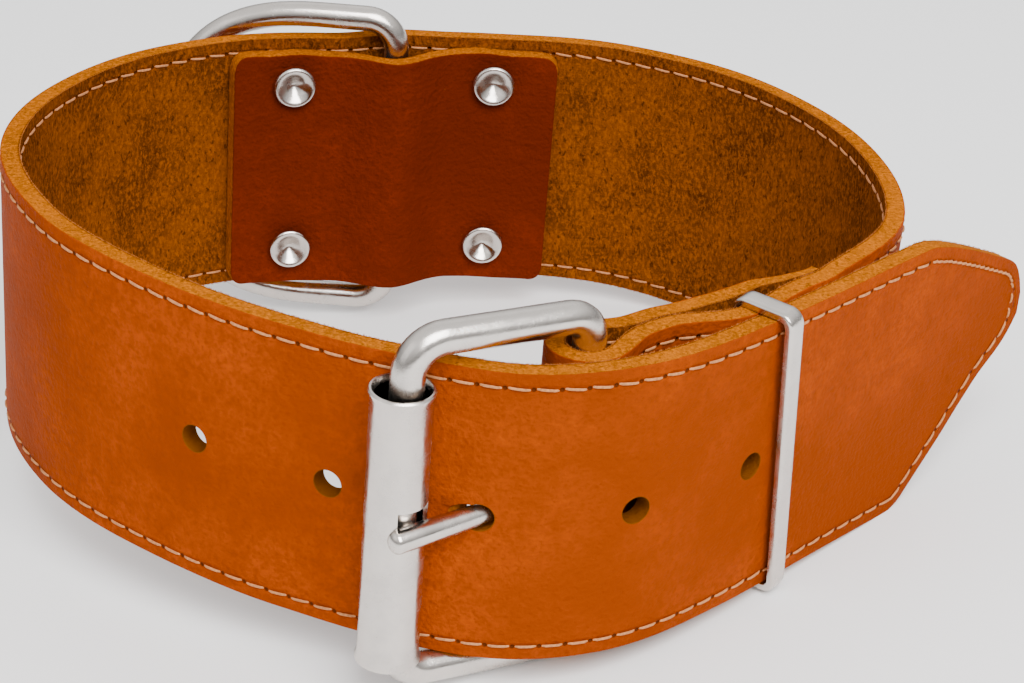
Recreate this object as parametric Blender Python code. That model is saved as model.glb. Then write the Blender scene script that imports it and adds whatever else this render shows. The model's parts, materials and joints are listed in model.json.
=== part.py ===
"""Pet collar: one leather strap buckled into a loop that stands on its edge.

The strap is folded round the hinge bar of a roller buckle, runs round the loop, passes under
the roller, over the fold and through a keeper, and ends in a straight pointed tail. A lead
ring hangs at the back on its straight bar, trapped between the strap and a riveted patch.

The collar is built upright about the middle of its loop, with the strap's mid-height at
zero, and the whole is then tilted to the stance in which it rests on a flat surface.
"""
import math
from collections import namedtuple

import bmesh
import bpy
from mathutils import Matrix, Vector

# Strap
STRAP_WIDTH = 0.045
STRAP_THICKNESS = 0.0029
EDGE_BEVEL = 0.0005
LOOP_WIDTH = 0.1374
LAYER_GAP = 0.0002
CLEARANCE = 0.0003

# Tail, holes and flap
TAIL_LENGTH = 0.0695
TAIL_BEND = 3.2
TAIL_BEND_LENGTH = 0.0060
TIP_LENGTH = 0.0320
HOLE_DIAMETER = 0.0042
HOLE_SPACING = 0.0214
HOLES_EACH_SIDE = 2
SKIVE_THICKNESS = 0.0012

# Buckle
FRAME_WIRE = 0.0048
FRAME_REACH = 0.0273
FRAME_ROOM = 0.00115
FRAME_INNER_HEIGHT = STRAP_WIDTH + 2 * FRAME_ROOM
FRAME_ROLLER_CORNER = 0.0050
FRAME_HINGE_CORNER = 0.0034
FOLD_PLAY = 0.0004
ROLLER_DIAMETER = 0.0080
ROLLER_RIM = 0.0085
ROLLER_RIM_WIDTH = 0.0008
ROLLER_WALL = 0.0006
ROLLER_END_ROOM = 0.0024
ROLLER_LENGTH = FRAME_INNER_HEIGHT - 2 * ROLLER_END_ROOM
ROLLER_DROP = 0.0011
NOTCH_HEIGHT = 0.0058
TONGUE_WIRE = 0.0034
TONGUE_NECK = 0.0027
TONGUE_EYE_WIRE = 0.0024
TONGUE_PAST_ROLLER = 0.0027

# Keeper
KEEPER_WIDTH = 0.0032
KEEPER_THICKNESS = 0.0013
KEEPER_CORNER = 0.0009
KEEPER_SLACK = 0.0011
KEEPER_TURN = 5.0

# Lead ring, patch and rivets
RING_WIRE = 0.0040
RING_ROOM = 0.0019
RING_INNER_HEIGHT = STRAP_WIDTH + 2 * RING_ROOM
RING_DEPTH = 0.0385
RING_ARM = 0.0120
RING_CORNER = 0.0034
RING_FULLNESS = 2.6
RING_HEADING = 180.0
RING_PLAY = 0.0006
STRAP_YIELD = 0.0013
BULGE_REACH = 0.0110
PATCH_LENGTH = 0.0580
PATCH_HEIGHT = 0.0425
PATCH_THICKNESS = 0.0029
PATCH_CORNER = 0.0025
PATCH_DROP = 0.0007
RIVET_SPAN = 0.0352
RIVET_RISE = 0.0304
RIVET_HEAD = 0.0072
RIVET_HEAD_HEIGHT = 0.0010
RIVET_SHANK = 0.0034
RIVET_RECESS = 0.0052
RIVET_RECESS_DEPTH = 0.0018

# Places round the loop, as angles about its middle, counterclockwise from the right
FOLD_ANGLE = -70.0
KEEPER_ANGLE = -41.0
TAIL_ANGLE = -47.0
SKIVE_ANGLE = -44.0
FLAP_END_ANGLE = -24.8
JOIN_ANGLE = -1.0
RING_ANGLE = 106.0

# Mass for each volume, used to find how the collar stands
LEATHER_DENSITY = 950.0
METAL_DENSITY = 7800.0

# Shape of the loop: distance of its outer face from the middle, as a share of half its width
LoopRow = namedtuple("LoopRow", "angle reach")
LOOP_SHAPE = (
    LoopRow(0.0, 0.966),
    LoopRow(22.5, 0.984),
    LoopRow(45.0, 0.977),
    LoopRow(67.5, 0.942),
    LoopRow(90.0, 0.882),
    LoopRow(112.5, 0.872),
    LoopRow(135.0, 0.969),
    LoopRow(157.5, 1.035),
    LoopRow(180.0, 1.039),
    LoopRow(202.5, 0.958),
    LoopRow(225.0, 0.866),
    LoopRow(247.5, 0.837),
    LoopRow(262.0, 0.857),
    LoopRow(270.0, 0.882),
    LoopRow(281.0, 0.914),
    LoopRow(292.5, 0.915),
    LoopRow(315.0, 0.881),
    LoopRow(337.5, 0.916),
)

# The tail's point, by the distance left to its end as a share of the tip's length; the
# heights of its upper and lower edge are shares of half the strap's width
TipRow = namedtuple("TipRow", "left upper lower")
TIP_SHAPE = (
    TipRow(1.000, 1.000, -1.000),
    TipRow(0.890, 1.000, -1.000),
    TipRow(0.820, 0.990, -0.960),
    TipRow(0.680, 0.930, -0.780),
    TipRow(0.540, 0.850, -0.600),
    TipRow(0.410, 0.770, -0.410),
    TipRow(0.275, 0.682, -0.230),
    TipRow(0.131, 0.590, -0.093),
    TipRow(0.081, 0.533, -0.030),
    TipRow(0.050, 0.471, 0.022),
    TipRow(0.019, 0.375, 0.085),
    TipRow(0.000, 0.284, 0.133),
)

# Where the layers overlap: the open gap between the tail and the layer under it, and the one
# between that layer and the flap inside it
FOLD_ROOM = FRAME_WIRE + 2 * FOLD_PLAY
LEG_DEPTH = KEEPER_THICKNESS + KEEPER_WIDTH * math.sin(math.radians(KEEPER_TURN))
LEG_ROOM = LEG_DEPTH + 3 * CLEARANCE
OverlapRow = namedtuple("OverlapRow", "angle under_tail under_flap")
OVERLAP = (
    OverlapRow(FOLD_ANGLE, LAYER_GAP, FOLD_ROOM),
    OverlapRow(-67.0, 0.30 * STRAP_THICKNESS, 0.90 * FOLD_ROOM),
    OverlapRow(-64.3, 0.84 * STRAP_THICKNESS, 0.60 * FOLD_ROOM),
    OverlapRow(-60.8, 1.45 * STRAP_THICKNESS, 0.16 * FOLD_ROOM),
    OverlapRow(-57.2, 1.64 * STRAP_THICKNESS, LAYER_GAP),
    OverlapRow(-53.6, 1.55 * STRAP_THICKNESS, LAYER_GAP),
    OverlapRow(-50.5, 1.12 * STRAP_THICKNESS, 0.30 * LEG_ROOM),
    OverlapRow(-47.7, 0.58 * STRAP_THICKNESS, 0.75 * LEG_ROOM),
    OverlapRow(-45.2, 0.26 * STRAP_THICKNESS, LEG_ROOM),
    OverlapRow(-43.0, 0.15 * STRAP_THICKNESS, LEG_ROOM),
    OverlapRow(-39.0, 0.15 * STRAP_THICKNESS, LEG_ROOM),
    OverlapRow(-36.0, 0.30 * STRAP_THICKNESS, 0.85 * LEG_ROOM),
    OverlapRow(-31.0, 0.36 * STRAP_THICKNESS, 0.25 * LEG_ROOM),
    OverlapRow(FLAP_END_ANGLE, LAYER_GAP, LAYER_GAP),
)

# Mesh fineness
LOOP_STEP = 0.0032
TIGHT_STEP = 0.0020
WIRE_SIDES = 12
HOLE_SIDES = 20
FOLD_STEPS = 10
BEND_STEPS = 4

HALF_WIDTH = STRAP_WIDTH / 2
HALF_STRAP = STRAP_THICKNESS / 2
Z_AXIS = Vector((0, 0, 1))


def curve_through(rows, limited):
    """Smooth function through (x, y) rows; limited keeps it from swinging past them."""
    slopes = []
    for i, (x, y) in enumerate(rows):
        before = rows[max(i - 1, 0)]
        after = rows[min(i + 1, len(rows) - 1)]
        slope = (after[1] - before[1]) / (after[0] - before[0])
        if limited and (after[1] - y) * (y - before[1]) <= 0:
            slope = 0.0
        slopes.append(slope)

    def value(x):
        last = len(rows) - 2
        i = next((k for k in range(last) if x < rows[k + 1][0]), last)
        (x0, y0), (x1, y1) = rows[i], rows[i + 1]
        span = x1 - x0
        t = min(max((x - x0) / span, 0.0), 1.0)
        start = (1 + 2 * t) * (1 - t) ** 2 * y0 + t * (1 - t) ** 2 * span * slopes[i]
        end = t * t * (3 - 2 * t) * y1 - t * t * (1 - t) * span * slopes[i + 1]
        return start + end

    return value


def ease(t):
    """Smooth step from 0 to 1."""
    t = min(max(t, 0.0), 1.0)
    return t * t * (3 - 2 * t)


def hump(distance, reach):
    """Smooth bump of height 1 at distance 0 that dies out at the reach."""
    return 1 - ease(abs(distance) / reach)


def loop_rows():
    """The loop's rows carried on past both ends, so that the curve closes smoothly."""
    rows = [(row.angle, row.reach) for row in LOOP_SHAPE]
    before = [(angle - 360, reach) for angle, reach in rows]
    after = [(angle + 360, reach) for angle, reach in rows]
    return before + rows + after


loop_reach = curve_through(loop_rows(), limited=False)
under_tail = curve_through([(r.angle, r.under_tail) for r in OVERLAP], limited=True)
under_flap = curve_through([(r.angle, r.under_flap) for r in OVERLAP], limited=True)


def turned(direction, degrees):
    """A level direction turned about the vertical."""
    return Matrix.Rotation(math.radians(degrees), 3, "Z") @ direction


def loop_point(angle):
    """Centre line of the outermost layer."""
    return turned(Vector((1, 0, 0)), angle) * (loop_reach(angle) * LOOP_WIDTH / 2 - HALF_STRAP)


def loop_frame(angle):
    """Point, direction of travel and inward direction of the outermost layer."""
    step = 0.5
    along = (loop_point(angle + step) - loop_point(angle - step)).normalized()
    return loop_point(angle), along, Z_AXIS.cross(along)


def inset_point(angle, inset):
    """Point at a depth inside the outermost layer's centre line."""
    place, _, inward = loop_frame(angle)
    return place + inward * inset


def under_inset(angle):
    """Depth of the layer under the tail, which eases out where it becomes the single layer."""
    depth = STRAP_THICKNESS + under_tail(angle)
    return depth * (1 - ease((angle - FLAP_END_ANGLE) / (JOIN_ANGLE - FLAP_END_ANGLE)))


def flap_thickness(angle):
    """Thickness of the flap, which is skived thin towards its end."""
    share = ease((angle - SKIVE_ANGLE) / (FLAP_END_ANGLE - SKIVE_ANGLE))
    return STRAP_THICKNESS + (SKIVE_THICKNESS - STRAP_THICKNESS) * share


def flap_inset(angle):
    """Depth of the flap, the innermost layer."""
    return under_inset(angle) + HALF_STRAP + under_flap(angle) + flap_thickness(angle) / 2


def yield_at(distance):
    """How far the strap gives way outwards at a distance from the bar of the lead ring."""
    return STRAP_YIELD * hump(distance, BULGE_REACH)


def spread_angles(start, end, step):
    """Angles from start to end, about one step of length apart on the loop."""
    count = max(2, round(abs(math.radians(end - start)) * LOOP_WIDTH / 2 / step))
    return [start + (end - start) * i / count for i in range(count + 1)]


def arc(centre, start, sweep, count):
    """Points on a level arc from the start point, turning by the sweep in degrees."""
    return [centre + turned(start - centre, sweep * i / count) for i in range(count + 1)]


def fold_centre():
    """Middle of the fold, which is the axis of the hinge bar."""
    return inset_point(FOLD_ANGLE, under_inset(FOLD_ANGLE) + (FOLD_ROOM + STRAP_THICKNESS) / 2)


def roller_place(angle):
    """Axis of the roller when it lies on the strap at this angle."""
    return inset_point(angle, -(HALF_STRAP + CLEARANCE + ROLLER_DIAMETER / 2))


def seat_roller():
    """Axis of the roller, one frame reach from the hinge bar along the strap."""
    hinge = fold_centre()
    near, far = FOLD_ANGLE - 60.0, FOLD_ANGLE
    for _ in range(40):
        middle = (near + far) / 2
        if (roller_place(middle) - hinge).length > FRAME_REACH:
            near = middle
        else:
            far = middle
    return roller_place(middle)


class Route:
    """A level path through points, read by the distance along it."""

    def __init__(self, points):
        self.points = points
        self.lengths = [0.0]
        for a, b in zip(points, points[1:]):
            self.lengths.append(self.lengths[-1] + (b - a).length)

    def slope(self, i):
        """Direction of travel at a point of the path."""
        before = self.points[max(i - 1, 0)]
        after = self.points[min(i + 1, len(self.points) - 1)]
        return (after - before).normalized()

    def at(self, distance):
        """Point, direction of travel and inward direction at a distance."""
        last = len(self.points) - 2
        i = next((k for k in range(last) if distance < self.lengths[k + 1]), last)
        share = (distance - self.lengths[i]) / (self.lengths[i + 1] - self.lengths[i])
        along = self.slope(i).lerp(self.slope(i + 1), share).normalized()
        return self.points[i].lerp(self.points[i + 1], share), along, Z_AXIS.cross(along)

    def nearest(self, place, start):
        """Distance along the path, from the start on, that comes nearest to a place."""
        count = 2000
        span = self.lengths[-1] - start
        rows = [start + span * i / count for i in range(count)]
        return min(rows, key=lambda distance: (self.at(distance)[0] - place).length)


def finish(name, color, roughness, metallic):
    """A plain Principled material."""
    material = bpy.data.materials.new(name)
    material.use_nodes = True
    shader = material.node_tree.nodes["Principled BSDF"]
    shader.inputs["Base Color"].default_value = (*color, 1.0)
    shader.inputs["Roughness"].default_value = roughness
    shader.inputs["Metallic"].default_value = metallic
    return material


def make_object(name, bm, material):
    """Put a bmesh into a named object, its faces pointing out and its round sides smooth."""
    bmesh.ops.recalc_face_normals(bm, faces=bm.faces)
    mesh = bpy.data.meshes.new(name)
    bm.to_mesh(mesh)
    bm.free()
    mesh.shade_smooth()
    mesh.set_sharp_from_angle(angle=math.radians(35))
    mesh.materials.append(material)
    piece = bpy.data.objects.new(name, mesh)
    bpy.context.scene.collection.objects.link(piece)
    return piece


def make_tool(name, bm, material):
    """An object that only cuts or joins others."""
    tool = make_object(name, bm, material)
    tool.hide_render = True
    tool.display_type = "WIRE"
    return tool


def combine(piece, tool, operation):
    """Cut a tool out of a piece, or join it on, with an exact boolean."""
    step = piece.modifiers.new(tool.name, "BOOLEAN")
    step.operation = operation
    step.solver = "EXACT"
    step.object = tool


def skin(rings, closed):
    """A bmesh stretched over rings of points, capped at its ends or closed on itself."""
    bm = bmesh.new()
    rows = [[bm.verts.new(point) for point in ring] for ring in rings]
    pairs = list(zip(rows, rows[1:]))
    if closed:
        pairs.append((rows[-1], rows[0]))
    for low, high in pairs:
        for i in range(len(low)):
            j = (i + 1) % len(low)
            bm.faces.new((low[i], low[j], high[j], high[i]))
    if not closed:
        bm.faces.new(rows[0])
        bm.faces.new(rows[-1])
    return bm


def circle(place, across, up, radius, sides):
    """Points of a round section."""
    turns = [2 * math.pi * i / sides for i in range(sides)]
    return [place + (across * math.cos(t) + up * math.sin(t)) * radius for t in turns]


def wire(points, radii, closed, level):
    """A round wire along points that lie in a plane; level is the plane's normal."""
    rings = []
    for i, point in enumerate(points):
        before = points[i - 1] if closed or i else point
        after = points[(i + 1) % len(points)] if closed or i < len(points) - 1 else point
        along = (after - before).normalized()
        rings.append(circle(point, along.cross(level), level, radii[i], WIRE_SIDES))
    return skin(rings, closed)


def turning(place, axis, rows, sides, closed):
    """A turned shape about an axis, from (radius, height) rows."""
    across = axis.orthogonal().normalized()
    up = axis.cross(across)
    rings = [circle(place + axis * height, across, up, radius, sides) for radius, height in rows]
    return skin(rings, closed)


def rounded_corner(centre, start, end, count):
    """Points of a quarter turn between two spokes from a centre."""
    turns = [math.pi / 2 * i / count for i in range(count + 1)]
    return [centre + start * math.cos(t) + end * math.sin(t) for t in turns]


def rectangle_path(across, near, far, half_height, near_corner, far_corner):
    """Closed path round an upright rectangle, with its own corner on each side."""
    count = 6
    path = []
    sides = ((near, near_corner, 1), (far, far_corner, -1))
    for edge, corner, facing in sides:
        for up in (-facing, facing):
            centre = across * (edge + corner * facing) + Z_AXIS * (up * (half_height - corner))
            spoke = across * (-corner * facing)
            rise = Z_AXIS * (up * corner)
            turn = rounded_corner(centre, spoke, rise, count)
            path += turn if up == facing else turn[::-1]
    return path


def strap_section(place, inward, thickness, low, high):
    """Section of the strap, flat on the inside, its two outer edges bevelled."""
    inner = inward * (thickness / 2)
    chamfer = min(EDGE_BEVEL, thickness / 3, (high - low) / 4)
    shoulder = inward * (chamfer - thickness / 2)
    return (
        place + inner + Z_AXIS * low,
        place + shoulder + Z_AXIS * low,
        place - inner + Z_AXIS * (low + chamfer),
        place - inner + Z_AXIS * (high - chamfer),
        place + shoulder + Z_AXIS * high,
        place + inner + Z_AXIS * high,
    )


Station = namedtuple("Station", "place thickness low high")


def full_station(place):
    """A station where the strap has its full section."""
    return Station(place, STRAP_THICKNESS, -HALF_WIDTH, HALF_WIDTH)


def tail_stations():
    """Stations of the tail: a last bend, then straight to its point."""
    place, along, _ = loop_frame(TAIL_ANGLE)
    stations = []
    for _ in range(BEND_STEPS):
        along = turned(along, TAIL_BEND / BEND_STEPS)
        place = place + along * (TAIL_BEND_LENGTH / BEND_STEPS)
        stations.append(full_station(place))
    straight = TAIL_LENGTH - TAIL_BEND_LENGTH
    count = max(1, round((straight - TIP_LENGTH) / LOOP_STEP))
    for i in range(1, count):
        stations.append(full_station(place + along * ((straight - TIP_LENGTH) * i / count)))
    for row in TIP_SHAPE:
        spot = place + along * (straight - row.left * TIP_LENGTH)
        low, high = row.lower * HALF_WIDTH, row.upper * HALF_WIDTH
        stations.append(Station(spot, STRAP_THICKNESS, low, high))
    return stations


def strap_stations():
    """Stations of the whole strap, from the flap's end to the tail's point."""
    stations = []
    for angle in spread_angles(FLAP_END_ANGLE, FOLD_ANGLE, TIGHT_STEP):
        place = inset_point(angle, flap_inset(angle))
        stations.append(Station(place, flap_thickness(angle), -HALF_WIDTH, HALF_WIDTH))
    for place in arc(fold_centre(), stations[-1].place, 180.0, FOLD_STEPS)[1:-1]:
        stations.append(full_station(place))
    for angle in spread_angles(FOLD_ANGLE, JOIN_ANGLE, TIGHT_STEP)[:-1]:
        stations.append(full_station(inset_point(angle, under_inset(angle))))
    for angle in spread_angles(JOIN_ANGLE, TAIL_ANGLE + 360, LOOP_STEP):
        distance = (loop_point(angle) - loop_point(RING_ANGLE)).length
        stations.append(full_station(inset_point(angle, -yield_at(distance))))
    return stations + tail_stations()


STATIONS = strap_stations()
STRAP = Route([station.place for station in STATIONS])
TAIL_START = STRAP.lengths[-1] - TAIL_LENGTH
BACK = Route([loop_point(a) for a in spread_angles(RING_ANGLE - 45, RING_ANGLE + 45, 0.001)])
BACK_MIDDLE = BACK.nearest(loop_point(RING_ANGLE), 0.0)
HINGE = fold_centre()
ROLLER = seat_roller()
FRAME_RISE = (FRAME_INNER_HEIGHT - STRAP_WIDTH) / 2 - CLEARANCE
FRAME_SIDE = (HINGE - ROLLER).normalized()

# The tongue passes just clear of the outer bar, on the outside of it
TONGUE_LIFT = FRAME_WIRE / 2 + CLEARANCE + TONGUE_WIRE / 2
TONGUE_SIDE = turned(-FRAME_SIDE, math.degrees(math.asin(TONGUE_LIFT / FRAME_REACH)))
TONGUE_TO_ROLLER = math.sqrt(FRAME_REACH ** 2 - TONGUE_LIFT ** 2)
EYE_RADIUS = FRAME_WIRE / 2 + CLEARANCE + TONGUE_EYE_WIRE / 2


def tongue_crossing():
    """Distance along the strap at which the tongue passes through the tail's layer."""
    start = STRAP.nearest(ROLLER, STRAP.lengths[-1] / 2)
    count = 400
    rows = [start + 1.2 * FRAME_REACH * i / count for i in range(count)]

    def miss(distance):
        reach = STRAP.at(distance)[0] - HINGE
        return abs(reach.cross(TONGUE_SIDE).z)

    return min(rows, key=miss)


def pocket_inset(distance):
    """Depth of the patch's outer face at a distance along the strap from the ring's bar."""
    room = RING_WIRE + 2 * RING_PLAY - LAYER_GAP
    gap = LAYER_GAP + room * hump(distance, BULGE_REACH)
    return HALF_STRAP - yield_at(distance) + gap


def build_strap(material, tools):
    """The strap with its holes cut."""
    rings = []
    for i, station in enumerate(STATIONS):
        inward = Z_AXIS.cross(STRAP.slope(i))
        rings.append(strap_section(station.place, inward, station.thickness, station.low, station.high))
    strap = make_object("strap", skin(rings, closed=False), material)
    for tool in tools:
        combine(strap, tool, "DIFFERENCE")
    return strap


def build_hole_tools(material):
    """Cutters for the five holes, the tongue's slanting way and its slot in the fold."""
    tools = []
    crossing = tongue_crossing()
    inner_end = HALF_STRAP + LAYER_GAP / 2
    outer_end = -2 * HALF_STRAP
    for number in range(-HOLES_EACH_SIDE, HOLES_EACH_SIDE + 1):
        place, _, inward = STRAP.at(crossing + number * HOLE_SPACING)
        rows = ((HOLE_DIAMETER / 2, outer_end), (HOLE_DIAMETER / 2, inner_end))
        bm = turning(place, inward, rows, HOLE_SIDES, closed=False)
        tools.append(make_tool(f"hole_cutter_{number + HOLES_EACH_SIDE + 1}", bm, material))
    fold_radius = FOLD_ROOM / 2 + STRAP_THICKNESS + LAYER_GAP / 2
    way_radius = tongue_radius(0.6 * TONGUE_TO_ROLLER) + CLEARANCE
    rows = ((way_radius, fold_radius), (way_radius, TONGUE_TO_ROLLER))
    bm = turning(HINGE, TONGUE_SIDE, rows, HOLE_SIDES, closed=False)
    tools.append(make_tool("tongue_way_cutter", bm, material))
    slot_half = TONGUE_NECK / 2 + CLEARANCE
    rows = ((fold_radius, -slot_half), (fold_radius, slot_half))
    bm = turning(HINGE, Z_AXIS, rows, 2 * HOLE_SIDES, closed=False)
    tools.append(make_tool("slot_cutter", bm, material))
    return tools


def rivet_seats():
    """Place and inward direction of each rivet, on the strap's centre line."""
    seats = []
    for side in (-1, 1):
        place, _, inward = BACK.at(BACK_MIDDLE + side * RIVET_SPAN / 2)
        for up in (1, -1):
            seats.append((place + Z_AXIS * (up * RIVET_RISE / 2), inward))
    return seats


def build_rivet_tools(material):
    """Cutters for the rivets' holes through strap and patch."""
    tools = []
    radius = RIVET_SHANK / 2 + LAYER_GAP
    reach = STRAP_THICKNESS + PATCH_THICKNESS + HALF_STRAP
    for number, (place, inward) in enumerate(rivet_seats(), 1):
        rows = ((radius, -reach), (radius, reach))
        bm = turning(place, inward, rows, WIRE_SIDES, closed=False)
        tools.append(make_tool(f"rivet_cutter_{number}", bm, material))
    return tools


def build_rivet(number, seat, material):
    """One rivet: a domed head outside, a shank, and a head with a conical recess inside."""
    place, inward = seat
    outside = -HALF_STRAP - LAYER_GAP
    inside = HALF_STRAP + 2 * LAYER_GAP + PATCH_THICKNESS
    head, shank, recess = RIVET_HEAD / 2, RIVET_SHANK / 2, RIVET_RECESS / 2
    rows = (
        (0.35 * head, outside - RIVET_HEAD_HEIGHT),
        (0.80 * head, outside - 0.75 * RIVET_HEAD_HEIGHT),
        (head, outside - 0.20 * RIVET_HEAD_HEIGHT),
        (head, outside),
        (shank, outside),
        (shank, inside),
        (head, inside),
        (head, inside + 0.40 * RIVET_HEAD_HEIGHT),
        (0.90 * head, inside + 0.85 * RIVET_HEAD_HEIGHT),
        ((head + recess) / 2, inside + RIVET_HEAD_HEIGHT),
        (recess, inside + 0.80 * RIVET_HEAD_HEIGHT),
        (0.30 * recess, inside + RIVET_HEAD_HEIGHT - RIVET_RECESS_DEPTH),
    )
    bm = turning(place, inward, rows, 16, closed=False)
    return make_object(f"rivet_{number}", bm, material)


def build_patch(material, tools):
    """The patch that holds the ring's bar against the strap."""
    half_length = PATCH_LENGTH / 2
    corner = [PATCH_CORNER * (1 - math.cos(math.radians(t))) for t in (0, 30, 55, 90)]
    count = round((PATCH_LENGTH - 2 * PATCH_CORNER) / TIGHT_STEP)
    straight = PATCH_LENGTH - 2 * PATCH_CORNER
    plain = [PATCH_CORNER - half_length + straight * i / count for i in range(1, count)]
    distances = [-half_length + d for d in corner] + plain + [half_length - d for d in corner[::-1]]
    rings = []
    for distance in distances:
        past_corner = PATCH_CORNER - min(half_length - abs(distance), PATCH_CORNER)
        drop = PATCH_CORNER - math.sqrt(PATCH_CORNER ** 2 - past_corner ** 2)
        half = PATCH_HEIGHT / 2 - drop
        place, _, inward = BACK.at(BACK_MIDDLE + distance)
        inset = pocket_inset(distance) + PATCH_THICKNESS / 2
        low, high = -PATCH_DROP - half, -PATCH_DROP + half
        rings.append(strap_section(place + inward * inset, -inward, PATCH_THICKNESS, low, high))
    patch = make_object("patch", skin(rings, closed=False), material)
    for tool in tools:
        combine(patch, tool, "DIFFERENCE")
    return patch


def ring_path():
    """Closed path of the lead ring about its bar, the bow pointing along its heading."""
    side = turned(Vector((1, 0, 0)), RING_HEADING)
    half = (RING_INNER_HEIGHT + RING_WIRE) / 2
    bow = RING_DEPTH - RING_ARM
    path = []
    for up in (-1, 1):
        centre = side * RING_CORNER + Z_AXIS * (up * (half - RING_CORNER))
        turn = rounded_corner(centre, side * -RING_CORNER, Z_AXIS * (up * RING_CORNER), 6)
        path += turn if up == 1 else turn[::-1]
    count = 28
    for i in range(count + 1):
        t = math.pi * i / count - math.pi / 2
        out = abs(math.cos(t)) ** (2 / RING_FULLNESS)
        rise = abs(math.sin(t)) ** (2 / RING_FULLNESS) * math.copysign(1, -t)
        path.append(side * (RING_ARM + bow * out) + Z_AXIS * (half * rise))
    return path, side.cross(Z_AXIS)


def build_ring(material):
    """The lead ring, its origin on the axis of its bar."""
    path, level = ring_path()
    ring = make_object("lead_ring", wire(path, [RING_WIRE / 2] * len(path), True, level), material)
    place, _, inward = BACK.at(BACK_MIDDLE)
    depth = HALF_STRAP - STRAP_YIELD + RING_PLAY + RING_WIRE / 2
    drop = (RING_INNER_HEIGHT - STRAP_WIDTH) / 2 - CLEARANCE
    ring.location = place + inward * depth - Z_AXIS * drop
    return ring


def build_frame(material):
    """The closed wire frame of the buckle."""
    half = (FRAME_INNER_HEIGHT + FRAME_WIRE) / 2
    corners = (FRAME_ROLLER_CORNER, FRAME_HINGE_CORNER)
    path = rectangle_path(FRAME_SIDE, 0.0, FRAME_REACH, half, *corners)
    path = [ROLLER + Z_AXIS * FRAME_RISE + point for point in path]
    level = FRAME_SIDE.cross(Z_AXIS)
    return make_object("buckle_frame", wire(path, [FRAME_WIRE / 2] * len(path), True, level), material)


def build_roller(material):
    """The roller, a thin tube with a notch for the tongue."""
    outer, rim = ROLLER_DIAMETER / 2, ROLLER_RIM / 2
    inner, half = outer - ROLLER_WALL, ROLLER_LENGTH / 2
    rows = (
        (inner, -half),
        (rim - 0.3 * ROLLER_WALL, -half),
        (rim, -half + 0.4 * ROLLER_RIM_WIDTH),
        (outer, -half + ROLLER_RIM_WIDTH),
        (outer, half - ROLLER_RIM_WIDTH),
        (rim, half - 0.4 * ROLLER_RIM_WIDTH),
        (rim - 0.3 * ROLLER_WALL, half),
        (inner, half),
    )
    middle = ROLLER - Z_AXIS * ROLLER_DROP
    roller = make_object("roller", turning(middle, Z_AXIS, rows, 24, closed=True), material)
    outward = Z_AXIS.cross(TONGUE_SIDE) * -1
    floor = TONGUE_LIFT - TONGUE_WIRE / 2 - CLEARANCE / 2
    if outward.dot(ROLLER - HINGE - TONGUE_SIDE * TONGUE_TO_ROLLER) > 0:
        outward = -outward
    rings = []
    for depth in (floor, ROLLER_DIAMETER):
        ring = []
        for reach, up in ((-1, -1), (1, -1), (1, 1), (-1, 1)):
            level = TONGUE_SIDE * (reach * ROLLER_DIAMETER) + Z_AXIS * (up * NOTCH_HEIGHT / 2)
            ring.append(ROLLER + outward * depth + level)
        rings.append(ring)
    combine(roller, make_tool("notch_cutter", skin(rings, closed=False), material), "DIFFERENCE")
    return roller


def tongue_radius(distance):
    """Radius of the tongue's shaft at a distance from the hinge bar."""
    share = ease((distance - EYE_RADIUS) / (TONGUE_TO_ROLLER - EYE_RADIUS))
    return (TONGUE_NECK + (TONGUE_WIRE - TONGUE_NECK) * share) / 2


def build_tongue(material):
    """The tongue: an eye round the hinge bar and a shaft that ends in the roller's notch."""
    across = TONGUE_SIDE
    points = circle(HINGE, across, Z_AXIS.cross(across), EYE_RADIUS, 24)
    tongue = make_object("tongue", wire(points, [TONGUE_EYE_WIRE / 2] * len(points), True, Z_AXIS), material)
    end = TONGUE_TO_ROLLER + TONGUE_PAST_ROLLER
    round_length = 0.6 * TONGUE_WIRE
    distances = [EYE_RADIUS, EYE_RADIUS + TONGUE_EYE_WIRE, 0.5 * TONGUE_TO_ROLLER]
    distances += [0.8 * TONGUE_TO_ROLLER, end - round_length]
    radii = [0.7 * TONGUE_EYE_WIRE / 2] + [tongue_radius(d) for d in distances[1:]]
    for turn in (30, 55, 75):
        distances.append(end - round_length * (1 - math.sin(math.radians(turn))))
        radii.append(radii[4] * math.cos(math.radians(turn)))
    shaft = wire([HINGE + across * d for d in distances], radii, False, Z_AXIS)
    combine(tongue, make_tool("tongue_shaft", shaft, material), "UNION")
    return tongue


def build_keeper(material):
    """The keeper, a flat loop with a rounded outside, turned a little on the strap."""
    distance = STRAP.nearest(loop_point(KEEPER_ANGLE), TAIL_START)
    place, _, inward = STRAP.at(distance)
    side = turned(inward, KEEPER_TURN)
    along = side.cross(Z_AXIS)
    skew = KEEPER_WIDTH * math.sin(math.radians(KEEPER_TURN))
    under = inset_point(KEEPER_ANGLE, under_inset(KEEPER_ANGLE))
    near = -(HALF_STRAP + KEEPER_SLACK)
    far = (under - place).dot(side) + HALF_STRAP + CLEARANCE + skew
    half = HALF_WIDTH + CLEARANCE
    path = rectangle_path(side, near, far, half, KEEPER_CORNER, KEEPER_CORNER)
    rings = []
    for i, point in enumerate(path):
        travel = (path[(i + 1) % len(path)] - path[i - 1]).normalized()
        out = travel.cross(along)
        if out.dot(point - side * (near + far) / 2) < 0:
            out = -out
        wide, thick = KEEPER_WIDTH / 2, KEEPER_THICKNESS
        rows = ((-1.0, 0.0), (-1.0, 0.45), (-0.7, 0.85), (0.0, 1.0), (0.7, 0.85), (1.0, 0.45), (1.0, 0.0))
        rings.append([place + point + along * (wide * a) + out * (thick * b) for a, b in rows])
    return make_object("keeper", skin(rings, closed=True), material)


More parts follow.
